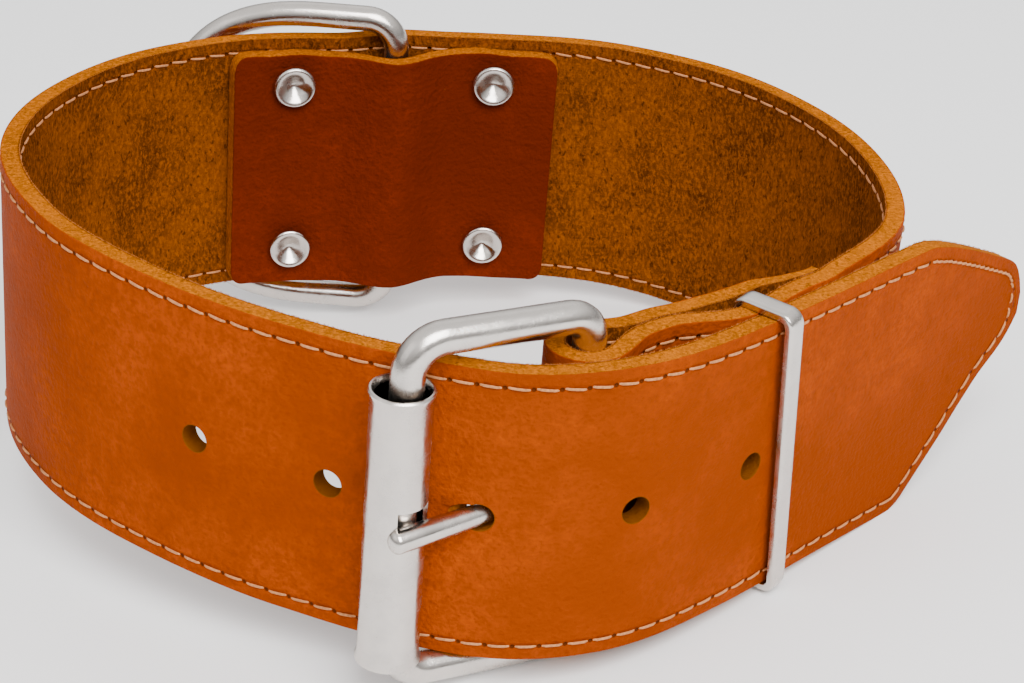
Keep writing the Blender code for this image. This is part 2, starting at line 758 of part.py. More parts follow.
def mass_and_moment(piece, density):
    """Mass of a piece and its mass times the place of its centre."""
    bm = bmesh.new()
    bm.from_mesh(piece.data)
    bmesh.ops.triangulate(bm, faces=bm.faces)
    mass, moment = 0.0, Vector((0, 0, 0))
    for face in bm.faces:
        a, b, c = (vert.co + piece.location for vert in face.verts)
        share = a.dot(b.cross(c)) / 6 * density
        mass += share
        moment += (a + b + c) / 4 * share
    bm.free()
    return mass, moment


def resting_turn(points, centre):
    """Turn that sets the body down on the face of its hull that carries its centre of mass."""
    turn = Matrix.Identity(3)
    for _ in range(4):
        bm = bmesh.new()
        for point in points:
            bm.verts.new(turn @ point)
        hull = bmesh.ops.convex_hull(bm, input=bm.verts)
        faces = [item for item in hull["geom"] if isinstance(item, bmesh.types.BMFace)]
        start = turn @ centre
        under = None
        for face in faces:
            corners = [vert.co for vert in face.verts]
            hit = triangle_below(start, corners)
            if hit is not None and hit < start.z and (under is None or hit < under[0]):
                under = (hit, face.normal.copy())
        normal = under[1] if under[1].z < 0 else -under[1]
        bm.free()
        turn = normal.rotation_difference(-Z_AXIS).to_matrix() @ turn
    return turn


def triangle_below(start, corners):
    """Height at which a vertical line through the start meets a triangle, if it does."""
    a, b, c = corners
    area = (b - a).to_2d().cross((c - a).to_2d())
    if abs(area) < 1e-12:
        return None
    spot = start.to_2d()
    u = (spot - a.to_2d()).cross((c - a).to_2d()) / area
    v = (b - a).to_2d().cross(spot - a.to_2d()) / area
    if u < 0 or v < 0 or u + v > 1:
        return None
    return a.z + (b.z - a.z) * u + (c.z - a.z) * v


def stand(pieces):
    """Parent every piece to an empty that holds the collar in its resting stance."""
    mass, moment = 0.0, Vector((0, 0, 0))
    points = []
    for piece in pieces:
        density = LEATHER_DENSITY if piece.name in ("strap", "patch") else METAL_DENSITY
        share, turning_share = mass_and_moment(piece, density)
        mass += share
        moment += turning_share
        points += [vert.co + piece.location for vert in piece.data.vertices]
    turn = resting_turn(points, moment / mass)
    placed = [turn @ point for point in points]
    low = Vector([min(point[i] for point in placed) for i in range(3)])
    high = Vector([max(point[i] for point in placed) for i in range(3)])
    shift = -Vector(((low.x + high.x) / 2, (low.y + high.y) / 2, low.z))
    stance = bpy.data.objects.new("stance", None)
    bpy.context.scene.collection.objects.link(stance)
    stance.matrix_world = Matrix.Translation(shift) @ turn.to_4x4()
    for piece in pieces:
        piece.parent = stance


def main():
    """Build every piece and stand the collar up."""
    for item in list(bpy.data.objects):
        bpy.data.objects.remove(item, do_unlink=True)
    leather = finish("orange leather", (0.52, 0.20, 0.02), 0.55, 0.0)
    lining = finish("red brown leather", (0.22, 0.045, 0.008), 0.60, 0.0)
    metal = finish("satin nickel", (0.62, 0.60, 0.57), 0.30, 1.0)
    rivet_tools = build_rivet_tools(metal)
    pieces = [build_strap(leather, build_hole_tools(metal) + rivet_tools)]
    pieces.append(build_patch(lining, rivet_tools))
    pieces += [build_rivet(i, seat, metal) for i, seat in enumerate(rivet_seats(), 1)]
    pieces += [build_ring(metal), build_frame(metal), build_roller(metal)]
    pieces += [build_tongue(metal), build_keeper(metal)]
    tools = [item for item in bpy.data.objects if item.display_type == "WIRE"]
    stand(pieces)
    for tool in tools:
        tool.parent = pieces[0].parent


main()
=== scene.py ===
"""Dresses the pet collar: leather strap, patch, thread and satin metal fittings."""
import bisect
import json
import math
import random
from collections import namedtuple

import bpy
from bpy.props import FloatProperty, FloatVectorProperty, PointerProperty
from mathutils import Matrix, Vector


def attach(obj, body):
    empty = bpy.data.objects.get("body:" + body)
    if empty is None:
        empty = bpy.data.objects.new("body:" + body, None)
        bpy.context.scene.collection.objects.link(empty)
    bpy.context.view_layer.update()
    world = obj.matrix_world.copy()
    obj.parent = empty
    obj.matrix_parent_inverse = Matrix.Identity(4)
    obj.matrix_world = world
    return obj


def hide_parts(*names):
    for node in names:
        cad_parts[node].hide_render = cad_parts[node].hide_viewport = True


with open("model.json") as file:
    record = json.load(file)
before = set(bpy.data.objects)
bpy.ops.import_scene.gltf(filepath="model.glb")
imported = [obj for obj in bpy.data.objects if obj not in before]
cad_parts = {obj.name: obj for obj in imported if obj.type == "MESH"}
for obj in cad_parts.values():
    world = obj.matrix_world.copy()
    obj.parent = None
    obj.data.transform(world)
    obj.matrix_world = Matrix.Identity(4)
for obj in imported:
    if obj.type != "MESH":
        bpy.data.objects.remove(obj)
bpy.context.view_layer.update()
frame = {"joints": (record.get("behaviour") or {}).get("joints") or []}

bl_info = {
    "name": "Pet Collar Maker",
    "version": (1, 0, 0),
    "blender": (4, 5, 0),
    "location": "View3D > Sidebar > Collar",
    "description": "Makes a buckled leather pet collar with a roller buckle and a lead ring",
    "category": "Object",
}

# Sizes in metres, shared by several pieces
STRAP_WIDTH = 0.045
STRAP_THICKNESS = 0.0029
LOOP_WIDTH = 0.1374
LAYER_GAP = 0.0002
CLEARANCE = 0.0003
TAIL_LENGTH = 0.0695
TAIL_BEND = 3.2
TAIL_BEND_LENGTH = 0.0060
TIP_LENGTH = 0.0320
HOLE_DIAMETER = 0.0042
HOLE_SPACING = 0.0214
HOLES_EACH_SIDE = 2
SKIVE_THICKNESS = 0.0012
FRAME_WIRE = 0.0048
FRAME_REACH = 0.0273
FRAME_ROOM = 0.00115
FRAME_INNER_HEIGHT = STRAP_WIDTH + 2 * FRAME_ROOM
FRAME_ROLLER_CORNER = 0.0050
FRAME_HINGE_CORNER = 0.0034
FOLD_PLAY = 0.0004
SLOT_LENGTH = 0.0210
ROLLER_DIAMETER = 0.0080
ROLLER_RIM = 0.0086
ROLLER_WALL = 0.0006
ROLLER_END_ROOM = 0.0024
ROLLER_LENGTH = FRAME_INNER_HEIGHT - 2 * ROLLER_END_ROOM
FRAME_SHIFT = 0.0013
FRAME_SLIP = 0.0009
ROLLER_SHIFT = 0.0007
ROLLER_SWELL = 0.0003
ROLLER_DROP = 0.0011
BORE_MARGIN = 0.00015
NOTCH_HEIGHT = 0.0058
NOTCH_ROOM = 0.0002
NOTCH_RISE = 0.0003
NOTCH_SHUT = 0.0012
TONGUE_WIRE = 0.0034
TONGUE_NECK = 0.0027
TONGUE_EYE_WIRE = 0.0024
TONGUE_DIP = 2.7
TONGUE_RISE = 0.0005
TONGUE_PAST_ROLLER = 0.0027
KEEPER_WIDTH = 0.0032
KEEPER_THICKNESS = 0.0013
KEEPER_CORNER = 0.0009
KEEPER_SLACK = 0.0011
KEEPER_TURN = 5.0
KEEPER_LEAN = -6.0
RING_WIRE = 0.0040
RING_ROOM = 0.0019
RING_INNER_HEIGHT = STRAP_WIDTH + 2 * RING_ROOM
RING_DEPTH = 0.0385
RING_ARM = 0.0120
RING_BEND = 0.0052
RING_LIFT = 0.0013
RING_SWELL = 0.00015
RING_FULLNESS = 2.6
RING_HEADING = 180.0
RING_PLAY = 0.0006
STRAP_YIELD = 0.0013
BULGE_REACH = 0.0110
PATCH_LENGTH = 0.0580
PATCH_HEIGHT = 0.0425
PATCH_THICKNESS = 0.0029
PATCH_CORNER = 0.0025
PATCH_DROP = 0.0007
RIVET_SPAN = 0.0352
RIVET_RISE = 0.0304
RIVET_HEAD = 0.0072
RIVET_HEAD_HEIGHT = 0.0010
RIVET_SHANK = 0.0034
RIVET_RECESS = 0.0052
RIVET_RECESS_DEPTH = 0.0018
RIVET_LIP = 0.0005
PRESS_DEPTH = 0.00042
PRESS_SWELL = 0.00012

# Places round the loop, as angles about its middle, counterclockwise from the right
FOLD_ANGLE = -70.0
KEEPER_ANGLE = -41.0
TAIL_ANGLE = -47.0
SKIVE_ANGLE = -44.0
FLAP_END_ANGLE = -24.8
JOIN_ANGLE = -1.0
RING_ANGLE = 106.0

LoopRow = namedtuple("LoopRow", "angle reach")
LOOP_SHAPE = (
    LoopRow(0.0, 0.966),
    LoopRow(22.5, 0.984),
    LoopRow(45.0, 0.977),
    LoopRow(67.5, 0.942),
    LoopRow(90.0, 0.882),
    LoopRow(112.5, 0.872),
    LoopRow(135.0, 0.969),
    LoopRow(157.5, 1.035),
    LoopRow(180.0, 1.039),
    LoopRow(202.5, 0.958),
    LoopRow(225.0, 0.866),
    LoopRow(247.5, 0.837),
    LoopRow(262.0, 0.857),
    LoopRow(270.0, 0.882),
    LoopRow(281.0, 0.914),
    LoopRow(292.5, 0.915),
    LoopRow(315.0, 0.881),
    LoopRow(337.5, 0.916),
)

TipRow = namedtuple("TipRow", "left upper lower")
TIP_SHAPE = (
    TipRow(1.000, 1.000, -1.000),
    TipRow(0.890, 1.000, -1.000),
    TipRow(0.820, 0.990, -0.960),
    TipRow(0.680, 0.930, -0.780),
    TipRow(0.540, 0.850, -0.600),
    TipRow(0.410, 0.770, -0.410),
    TipRow(0.275, 0.682, -0.230),
    TipRow(0.131, 0.590, -0.093),
    TipRow(0.081, 0.533, -0.030),
    TipRow(0.050, 0.471, 0.022),
    TipRow(0.019, 0.375, 0.085),
    TipRow(0.000, 0.284, 0.133),
)

FOLD_ROOM = FRAME_WIRE + 2 * FOLD_PLAY
LEG_DEPTH = KEEPER_THICKNESS + KEEPER_WIDTH * math.sin(math.radians(KEEPER_TURN))
LEG_ROOM = LEG_DEPTH + 3 * CLEARANCE
OverlapRow = namedtuple("OverlapRow", "angle under_tail under_flap")
OVERLAP = (
    OverlapRow(FOLD_ANGLE, LAYER_GAP, FOLD_ROOM),
    OverlapRow(-67.0, 0.30 * STRAP_THICKNESS, 0.90 * FOLD_ROOM),
    OverlapRow(-64.3, 0.84 * STRAP_THICKNESS, 0.60 * FOLD_ROOM),
    OverlapRow(-60.8, 1.45 * STRAP_THICKNESS, 0.16 * FOLD_ROOM),
    OverlapRow(-57.2, 1.64 * STRAP_THICKNESS, LAYER_GAP),
    OverlapRow(-53.6, 1.55 * STRAP_THICKNESS, LAYER_GAP),
    OverlapRow(-50.5, 1.12 * STRAP_THICKNESS, 0.30 * LEG_ROOM),
    OverlapRow(-47.7, 0.58 * STRAP_THICKNESS, 0.75 * LEG_ROOM),
    OverlapRow(-45.2, 0.26 * STRAP_THICKNESS, LEG_ROOM),
    OverlapRow(-43.0, 0.15 * STRAP_THICKNESS, LEG_ROOM),
    OverlapRow(-39.0, 0.15 * STRAP_THICKNESS, LEG_ROOM),
    OverlapRow(-36.0, 0.30 * STRAP_THICKNESS, 0.85 * LEG_ROOM),
    OverlapRow(-31.0, 0.36 * STRAP_THICKNESS, 0.25 * LEG_ROOM),
    OverlapRow(FLAP_END_ANGLE, LAYER_GAP, LAYER_GAP),
)

HALF_WIDTH = STRAP_WIDTH / 2
HALF_STRAP = STRAP_THICKNESS / 2
Z_AXIS = Vector((0, 0, 1))


def curve_through(rows, limited):
    """Smooth function through (x, y) rows; limited keeps it from swinging past them."""
    slopes = []
    for i, (x, y) in enumerate(rows):
        before = rows[max(i - 1, 0)]
        after = rows[min(i + 1, len(rows) - 1)]
        slope = (after[1] - before[1]) / (after[0] - before[0])
        if limited and (after[1] - y) * (y - before[1]) <= 0:
            slope = 0.0
        slopes.append(slope)

    def value(x):
        last = len(rows) - 2
        i = next((k for k in range(last) if x < rows[k + 1][0]), last)
        (x0, y0), (x1, y1) = rows[i], rows[i + 1]
        span = x1 - x0
        t = min(max((x - x0) / span, 0.0), 1.0)
        start = (1 + 2 * t) * (1 - t) ** 2 * y0 + t * (1 - t) ** 2 * span * slopes[i]
        end = t * t * (3 - 2 * t) * y1 - t * t * (1 - t) * span * slopes[i + 1]
        return start + end

    return value


def ease(t):
    """Smooth step from 0 to 1."""
    t = min(max(t, 0.0), 1.0)
    return t * t * (3 - 2 * t)


def hump(distance, reach):
    """Smooth bump of height 1 at distance 0 that dies out at the reach."""
    return 1 - ease(abs(distance) / reach)


def loop_rows():
    """The loop's rows carried on past both ends, so that the curve closes smoothly."""
    rows = [(row.angle, row.reach) for row in LOOP_SHAPE]
    before = [(angle - 360, reach) for angle, reach in rows]
    after = [(angle + 360, reach) for angle, reach in rows]
    return before + rows + after


loop_reach = curve_through(loop_rows(), limited=False)
under_tail = curve_through([(r.angle, r.under_tail) for r in OVERLAP], limited=True)
under_flap = curve_through([(r.angle, r.under_flap) for r in OVERLAP], limited=True)


def turned(direction, degrees):
    """A level direction turned about the vertical."""
    return Matrix.Rotation(math.radians(degrees), 3, "Z") @ direction


def loop_point(angle):
    """Centre line of the outermost layer."""
    return turned(Vector((1, 0, 0)), angle) * (loop_reach(angle) * LOOP_WIDTH / 2 - HALF_STRAP)


def loop_frame(angle):
    """Point, direction of travel and inward direction of the outermost layer."""
    step = 0.5
    along = (loop_point(angle + step) - loop_point(angle - step)).normalized()
    return loop_point(angle), along, Z_AXIS.cross(along)


def inset_point(angle, inset):
    """Point at a depth inside the outermost layer's centre line."""
    place, _, inward = loop_frame(angle)
    return place + inward * inset


def under_inset(angle):
    """Depth of the layer under the tail, which eases out where it becomes the single layer."""
    depth = STRAP_THICKNESS + under_tail(angle)
    return depth * (1 - ease((angle - FLAP_END_ANGLE) / (JOIN_ANGLE - FLAP_END_ANGLE)))


def flap_thickness(angle):
    """Thickness of the flap, which is skived thin towards its end."""
    share = ease((angle - SKIVE_ANGLE) / (FLAP_END_ANGLE - SKIVE_ANGLE))
    return STRAP_THICKNESS + (SKIVE_THICKNESS - STRAP_THICKNESS) * share


def flap_inset(angle):
    """Depth of the flap, the innermost layer."""
    return under_inset(angle) + HALF_STRAP + under_flap(angle) + flap_thickness(angle) / 2


def yield_at(distance):
    """How far the strap gives way outwards at a distance from the bar of the lead ring."""
    return STRAP_YIELD * hump(distance, BULGE_REACH)


def spread_angles(start, end, step):
    """Angles from start to end, about one step of length apart on the loop."""
    count = max(2, round(abs(math.radians(end - start)) * LOOP_WIDTH / 2 / step))
    return [start + (end - start) * i / count for i in range(count + 1)]


def arc(centre, start, sweep, count):
    """Points on a level arc from the start point, turning by the sweep in degrees."""
    return [centre + turned(start - centre, sweep * i / count) for i in range(count + 1)]


def fold_centre():
    """Middle of the fold, which is the axis of the hinge bar."""
    return inset_point(FOLD_ANGLE, under_inset(FOLD_ANGLE) + (FOLD_ROOM + STRAP_THICKNESS) / 2)


def roller_place(angle):
    """Axis of the roller when it lies on the strap at this angle."""
    return inset_point(angle, -(HALF_STRAP + CLEARANCE + ROLLER_DIAMETER / 2))


def seat_roller():
    """Axis of the roller, one frame reach from the hinge bar along the strap."""
    hinge = fold_centre()
    near, far = FOLD_ANGLE - 60.0, FOLD_ANGLE
    for _ in range(40):
        middle = (near + far) / 2
        if (roller_place(middle) - hinge).length > FRAME_REACH:
            near = middle
        else:
            far = middle
    return roller_place(middle)


class Route:
    """A level path through points, read by the distance along it."""

    def __init__(self, points):
        self.points = points
        self.lengths = [0.0]
        for a, b in zip(points, points[1:]):
            self.lengths.append(self.lengths[-1] + (b - a).length)
        self.slopes = [self.slope(i) for i in range(len(points))]
        self.total = self.lengths[-1]

    def slope(self, i):
        """Direction of travel at a point of the path."""
        before = self.points[max(i - 1, 0)]
        after = self.points[min(i + 1, len(self.points) - 1)]
        return (after - before).normalized()

    def at(self, distance):
        """Point, direction of travel and inward direction at a distance."""
        i = min(max(bisect.bisect_right(self.lengths, distance) - 1, 0), len(self.points) - 2)
        share = (distance - self.lengths[i]) / (self.lengths[i + 1] - self.lengths[i])
        along = self.slopes[i].lerp(self.slopes[i + 1], min(max(share, 0.0), 1.0)).normalized()
        place = self.points[i] + (self.points[i + 1] - self.points[i]) * share
        return place, along, Z_AXIS.cross(along)

    def nearest(self, place, start):
        """Distance along the path, from the start on, that comes nearest to a place."""
        count = 3000
        span = self.total - start
        rows = [start + span * i / count for i in range(count)]
        return min(rows, key=lambda distance: (self.at(distance)[0] - place).length)


STEP = 0.0010
TIGHT_STEP = 0.0008
GRID_STEP = 0.00095
BACK_STEP = 0.0005
FOLD_STEPS = 24
BEND_STEPS = 6
QUARTER_STEPS = 10
SEAM_SPOTS = 3000
TURNED_SIDES = 48
PUNCH_SIDES = 40

# The seam: room left at the tip and at the fold, and its close stitches as shares of a full one
TIP_ROOM = 0.0020
FOLD_CLEAR = 0.0040
TIGHT_SHARE = 0.42
TIGHT_LEAN = 0.25
END_SHARE = 0.6
THREAD_SHARE = 0.90


def strap_route():
    """Centre line of the whole strap and the distances at which its parts begin."""
    points = []
    for angle in spread_angles(FLAP_END_ANGLE, FOLD_ANGLE, TIGHT_STEP):
        points.append(inset_point(angle, flap_inset(angle)))
    points += arc(fold_centre(), points[-1], 180.0, FOLD_STEPS)[1:-1]
    for angle in spread_angles(FOLD_ANGLE, JOIN_ANGLE, TIGHT_STEP)[:-1]:
        points.append(inset_point(angle, under_inset(angle)))
    for angle in spread_angles(JOIN_ANGLE, TAIL_ANGLE + 360, STEP):
        distance = (loop_point(angle) - loop_point(RING_ANGLE)).length
        points.append(inset_point(angle, -yield_at(distance)))
    place, along, _ = loop_frame(TAIL_ANGLE)
    for _ in range(BEND_STEPS):
        along = turned(along, TAIL_BEND / BEND_STEPS)
        place = place + along * (TAIL_BEND_LENGTH / BEND_STEPS)
        points.append(place)
    straight = TAIL_LENGTH - TAIL_BEND_LENGTH
    count = round(straight / STEP)
    points += [place + along * (straight * (i + 1) / count) for i in range(count)]
    return Route(points)


STRAP = strap_route()
TAIL_START = STRAP.total - TAIL_LENGTH
SKIVE_LENGTH = math.radians(FLAP_END_ANGLE - SKIVE_ANGLE) * 0.8 * LOOP_WIDTH / 2
BACK = Route([loop_point(a) for a in spread_angles(RING_ANGLE - 45, RING_ANGLE + 45, BACK_STEP)])
BACK_MIDDLE = BACK.nearest(loop_point(RING_ANGLE), 0.0)
HINGE = fold_centre()
ROLLER = seat_roller()
FRAME_RISE = (FRAME_INNER_HEIGHT - STRAP_WIDTH) / 2 - CLEARANCE
FRAME_SIDE = (HINGE - ROLLER).normalized()
TONGUE_LIFT = FRAME_WIRE / 2 + CLEARANCE + TONGUE_WIRE / 2
TONGUE_SIDE = turned(-FRAME_SIDE, math.degrees(math.asin(TONGUE_LIFT / FRAME_REACH)))
TONGUE_TO_ROLLER = math.sqrt(FRAME_REACH ** 2 - TONGUE_LIFT ** 2)
EYE_RADIUS = FRAME_WIRE / 2 + CLEARANCE + TONGUE_EYE_WIRE / 2


def ring_place():
    """Middle of the lead ring's bar, in the upright collar."""
    place, _, inward = BACK.at(BACK_MIDDLE)
    depth = HALF_STRAP - STRAP_YIELD + RING_PLAY + RING_WIRE / 2
    drop = (RING_INNER_HEIGHT - STRAP_WIDTH) / 2 - CLEARANCE
    return place + inward * depth - Z_AXIS * drop


def stance_matrix():
    """Places the upright collar as the frame has it, by the axis of the lead ring's hinge."""
    joint = next(j for j in frame["joints"] if j["name"] == "ring_swing")
    axis = -Vector(joint["axis"])
    turn = Z_AXIS.rotation_difference(axis).to_matrix()
    shift = Vector(joint["pos_m"]) - turn @ ring_place()
    return Matrix.Translation(shift) @ turn.to_4x4()


STANCE = stance_matrix()


def tongue_crossing():
    """Distance along the strap at which the tongue passes through the tail's layer."""
    start = STRAP.nearest(ROLLER, STRAP.total / 2)
    rows = [start + 1.2 * FRAME_REACH * i / 600 for i in range(600)]
    return min(rows, key=lambda d: abs((STRAP.at(d)[0] - HINGE).cross(TONGUE_SIDE).z))


CROSSING = tongue_crossing()
FOLD_DISTANCE = STRAP.nearest(HINGE + FRAME_SIDE * -((FOLD_ROOM + STRAP_THICKNESS) / 2), 0.0)


def tip_edge(distance, side):
    """Height of the strap's upper (1) or lower (-1) edge at a distance along it."""
    left = (STRAP.total - distance) / TIP_LENGTH
    if left >= 1.0:
        return side * HALF_WIDTH
    for high, low in zip(TIP_SHAPE, TIP_SHAPE[1:]):
        if left >= low.left:
            share = (left - low.left) / (high.left - low.left)
            a, b = (low.upper, high.upper) if side > 0 else (low.lower, high.lower)
            return (a + (b - a) * share) * HALF_WIDTH
    return (low.upper if side > 0 else low.lower) * HALF_WIDTH


def ripple(distance, side):
    """Slight waviness of the cut edges."""
    slow = math.sin(distance * 71.0 + side) * 0.00010
    quick = math.sin(distance * 233.0 + 2.1 * side) * 0.00004
    return slow + quick


def strap_place(distance, depth, height):
    """World place of a point of the flat strap: distance along it, depth inwards, height."""
    place, _, inward = STRAP.at(distance)
    if distance < SKIVE_LENGTH:
        thin = SKIVE_THICKNESS / STRAP_THICKNESS
        depth *= thin + (1 - thin) * ease(distance / SKIVE_LENGTH)
    return STANCE @ (place + inward * depth + Z_AXIS * height)


def pocket_inset(distance):
    """Depth of the patch's outer face at a distance along the strap from the ring's bar."""
    room = RING_WIRE + 2 * RING_PLAY - LAYER_GAP
    gap = LAYER_GAP + room * hump(distance, BULGE_REACH)
    return HALF_STRAP - yield_at(distance) + gap


def patch_place(distance, depth, height):
    """World place of a point of the flat patch, its face towards the neck at depth 0."""
    place, _, inward = BACK.at(BACK_MIDDLE - distance)
    inset = pocket_inset(distance) + PATCH_THICKNESS / 2 - depth
    return STANCE @ (place + inward * inset + Z_AXIS * (height - PATCH_DROP))


def wrap(piece, place):
    """Bend a flat piece, laid out as distance, depth and height, to its place."""
    for vert in piece.data.vertices:
        vert.co = place(*vert.co)
    piece.data.update()


def rivet_seats():
    """Place and inward direction of each rivet, on the strap's centre line."""
    seats = []
    for side in (-1, 1):
        place, _, inward = BACK.at(BACK_MIDDLE + side * RIVET_SPAN / 2)
        for up in (1, -1):
            seats.append((place + Z_AXIS * (up * RIVET_RISE / 2), inward))
    return seats


def shader_node(tree, kind, inputs=(), **settings):
    """Add a shader node, with values or links for its inputs."""
    item = tree.nodes.new(kind)
    for name, value in settings.items():
        setattr(item, name, value)
    for name, value in dict(inputs).items():
        socket = item.inputs[name]
        if isinstance(value, bpy.types.NodeSocket):
            tree.links.new(value, socket)
        else:
            socket.default_value = value
    return item


def mixed(tree, share, a, b):
    """Mix of two colours."""
    item = tree.nodes.new("ShaderNodeMix")
    item.data_type = "RGBA"
    for index, value in ((0, share), (6, a), (7, b)):
        if isinstance(value, bpy.types.NodeSocket):
            tree.links.new(value, item.inputs[index])
        elif index:
            item.inputs[index].default_value = (*value[:3], 1.0)
        else:
            item.inputs[index].default_value = value
    return item.outputs[2]


def sum_of(tree, operation, a, b=0.5, c=0.0):
    """Result of a math node."""
    item = tree.nodes.new("ShaderNodeMath")
    item.operation = operation
    for index, value in enumerate((a, b, c)):
        if isinstance(value, bpy.types.NodeSocket):
            tree.links.new(value, item.inputs[index])
        else:
            item.inputs[index].default_value = value
    return item.outputs[0]


def span(tree, value, low, high, start=0.0, end=1.0):
    """Value carried from one range to another, held at its ends."""
    inputs = {"Value": value, "From Min": low, "From Max": high, "To Min": start, "To Max": end}
    return shader_node(tree, "ShaderNodeMapRange", inputs).outputs[0]


def noise(tree, vector, scale, detail=4.0, roughness=0.55):
    """Noise value on a vector."""
    inputs = {"Vector": vector, "Scale": scale, "Detail": detail, "Roughness": roughness}
    return shader_node(tree, "ShaderNodeTexNoise", inputs).outputs[0]


def stretched(tree, vector, scale):
    """Vector scaled by its own factor on each axis."""
    inputs = {"Vector": vector, "Scale": scale}
    return shader_node(tree, "ShaderNodeMapping", inputs).outputs[0]


def new_group(name, outputs):
    """Shader node group with its vector, and the node that takes its named values."""
    group = bpy.data.node_groups.new(name, "ShaderNodeTree")
    group.interface.new_socket(name="Vector", in_out="INPUT", socket_type="NodeSocketVector")
    for label in outputs:
        group.interface.new_socket(name=label, in_out="OUTPUT", socket_type="NodeSocketFloat")
    start = group.nodes.new("NodeGroupInput")
    end = group.nodes.new("NodeGroupOutput")
    return group, start.outputs["Vector"], end


def grain_group():
    """Smooth leather grain: fine pebbles, creases and scuffs."""
    group, vector, end = new_group("leather grain", ("Height", "Scuffs"))
    inputs = {"Vector": vector, "Scale": 1700.0}
    cells = shader_node(group, "ShaderNodeTexVoronoi", inputs, feature="SMOOTH_F1")
    fine = noise(group, vector, 900.0, 6.0, 0.6)
    crease = noise(group, stretched(group, vector, (60.0, 60.0, 420.0)), 1.0, 4.0, 0.7)
    height = sum_of(group, "MULTIPLY_ADD", cells.outputs[0], 0.35, fine)
    height = sum_of(group, "MULTIPLY_ADD", crease, 0.5, height)
    group.links.new(height, end.inputs["Height"])
    scuff = noise(group, stretched(group, vector, (130.0, 130.0, 60.0)), 1.0, 7.0, 0.72)
    group.links.new(span(group, scuff, 0.55, 0.78), end.inputs["Scuffs"])
    return group


def fibre_group():
    """Raw leather: matted fibres and mottling."""
    group, vector, end = new_group("leather fibres", ("Height", "Mottle", "Fleck", "Pits"))
    warp = shader_node(group, "ShaderNodeTexNoise", {"Vector": vector, "Scale": 260.0, "Detail": 3.0})
    bent = shader_node(group, "ShaderNodeVectorMath", operation="MULTIPLY_ADD")
    group.links.new(warp.outputs[1], bent.inputs[0])
    bent.inputs[1].default_value = (0.0014, 0.0014, 0.0014)
    group.links.new(vector, bent.inputs[2])
    bent = bent.outputs[0]
    fibres = noise(group, stretched(group, bent, (900.0, 2600.0, 2600.0)), 1.0, 5.0, 0.7)
    mat = noise(group, vector, 1100.0, 5.0, 0.75)
    height = sum_of(group, "MULTIPLY_ADD", fibres, 0.8, mat)
    group.links.new(height, end.inputs["Height"])
    mottle = noise(group, vector, 75.0, 7.0, 0.68)
    group.links.new(span(group, mottle, 0.36, 0.64), end.inputs["Mottle"])
    fleck = noise(group, stretched(group, bent, (1900.0, 1900.0, 1100.0)), 1.0, 3.0, 0.7)
    group.links.new(span(group, fleck, 0.44, 0.66), end.inputs["Fleck"])
    pits = noise(group, stretched(group, bent, (1500.0, 1500.0, 900.0)), 1.0, 2.0, 0.6)
    group.links.new(span(group, pits, 0.56, 0.70, 0.0, 0.85), end.inputs["Pits"])
    return group


def wear_group():
    """Satin metal: fine brushing and faint marks."""
    group, vector, end = new_group("metal wear", ("Height", "Marks"))
    group.links.new(noise(group, vector, 1500.0, 5.0, 0.6), end.inputs["Height"])
    marks = noise(group, vector, 240.0, 6.0, 0.65)
    group.links.new(span(group, marks, 0.35, 0.70), end.inputs["Marks"])
    return group


GROUPS = {}


def effect(tree, name, vector):
    """A shared effect placed in a material."""
    makers = {"grain": grain_group, "fibres": fibre_group, "wear": wear_group}
    if name not in GROUPS:
        GROUPS[name] = makers[name]()
    item = tree.nodes.new("ShaderNodeGroup")
    item.node_tree = GROUPS[name]
    tree.links.new(vector, item.inputs["Vector"])
    return item


def start_material(name):
    """New material, its tree, its shader and its object coordinates."""
    material = bpy.data.materials.new(name)
    material.use_nodes = True
    tree = material.node_tree
    shader = tree.nodes["Principled BSDF"]
    coordinates = tree.nodes.new("ShaderNodeTexCoord").outputs["Object"]
    return material, tree, shader, coordinates


def shade(color, factor, lift=0.0):
    """Darker or paler colour."""
    return tuple(min(1.0, part * factor + lift) for part in color)


def set_bump(tree, shader, height):
    """Let a height in metres shape a shader's surface."""
    bump = shader_node(tree, "ShaderNodeBump", {"Height": height, "Strength": 1.0, "Distance": 1.0})
    tree.links.new(bump.outputs[0], shader.inputs["Normal"])


def hole_wall_shade(tree, flat):
    """Mask of the walls of the strap's punched holes, where painted shade darkens the colour."""
    # The fraction of the share is one half at the middle of each hole
    parts = shader_node(tree, "ShaderNodeSeparateXYZ", {"Vector": flat}).outputs
    share = sum_of(tree, "MULTIPLY_ADD", parts["X"], 1 / HOLE_SPACING, 100.5 - CROSSING / HOLE_SPACING)
    away = sum_of(tree, "SUBTRACT", sum_of(tree, "FRACT", share), 0.5)
    away = sum_of(tree, "MULTIPLY", away, HOLE_SPACING)
    reach = sum_of(tree, "MULTIPLY_ADD", away, away, sum_of(tree, "MULTIPLY", parts["Z"], parts["Z"]))
    radius = HOLE_DIAMETER / 2
    wall = span(tree, sum_of(tree, "SQRT", reach), radius + 0.00003, radius + 0.00012, 1.0, 0.0)
    from_middle = sum_of(tree, "ABSOLUTE", sum_of(tree, "SUBTRACT", share, 100.5))
    inside = span(tree, from_middle, HOLES_EACH_SIDE + 0.4, HOLES_EACH_SIDE + 0.45, 1.0, 0.0)
    return sum_of(tree, "MULTIPLY", wall, inside)


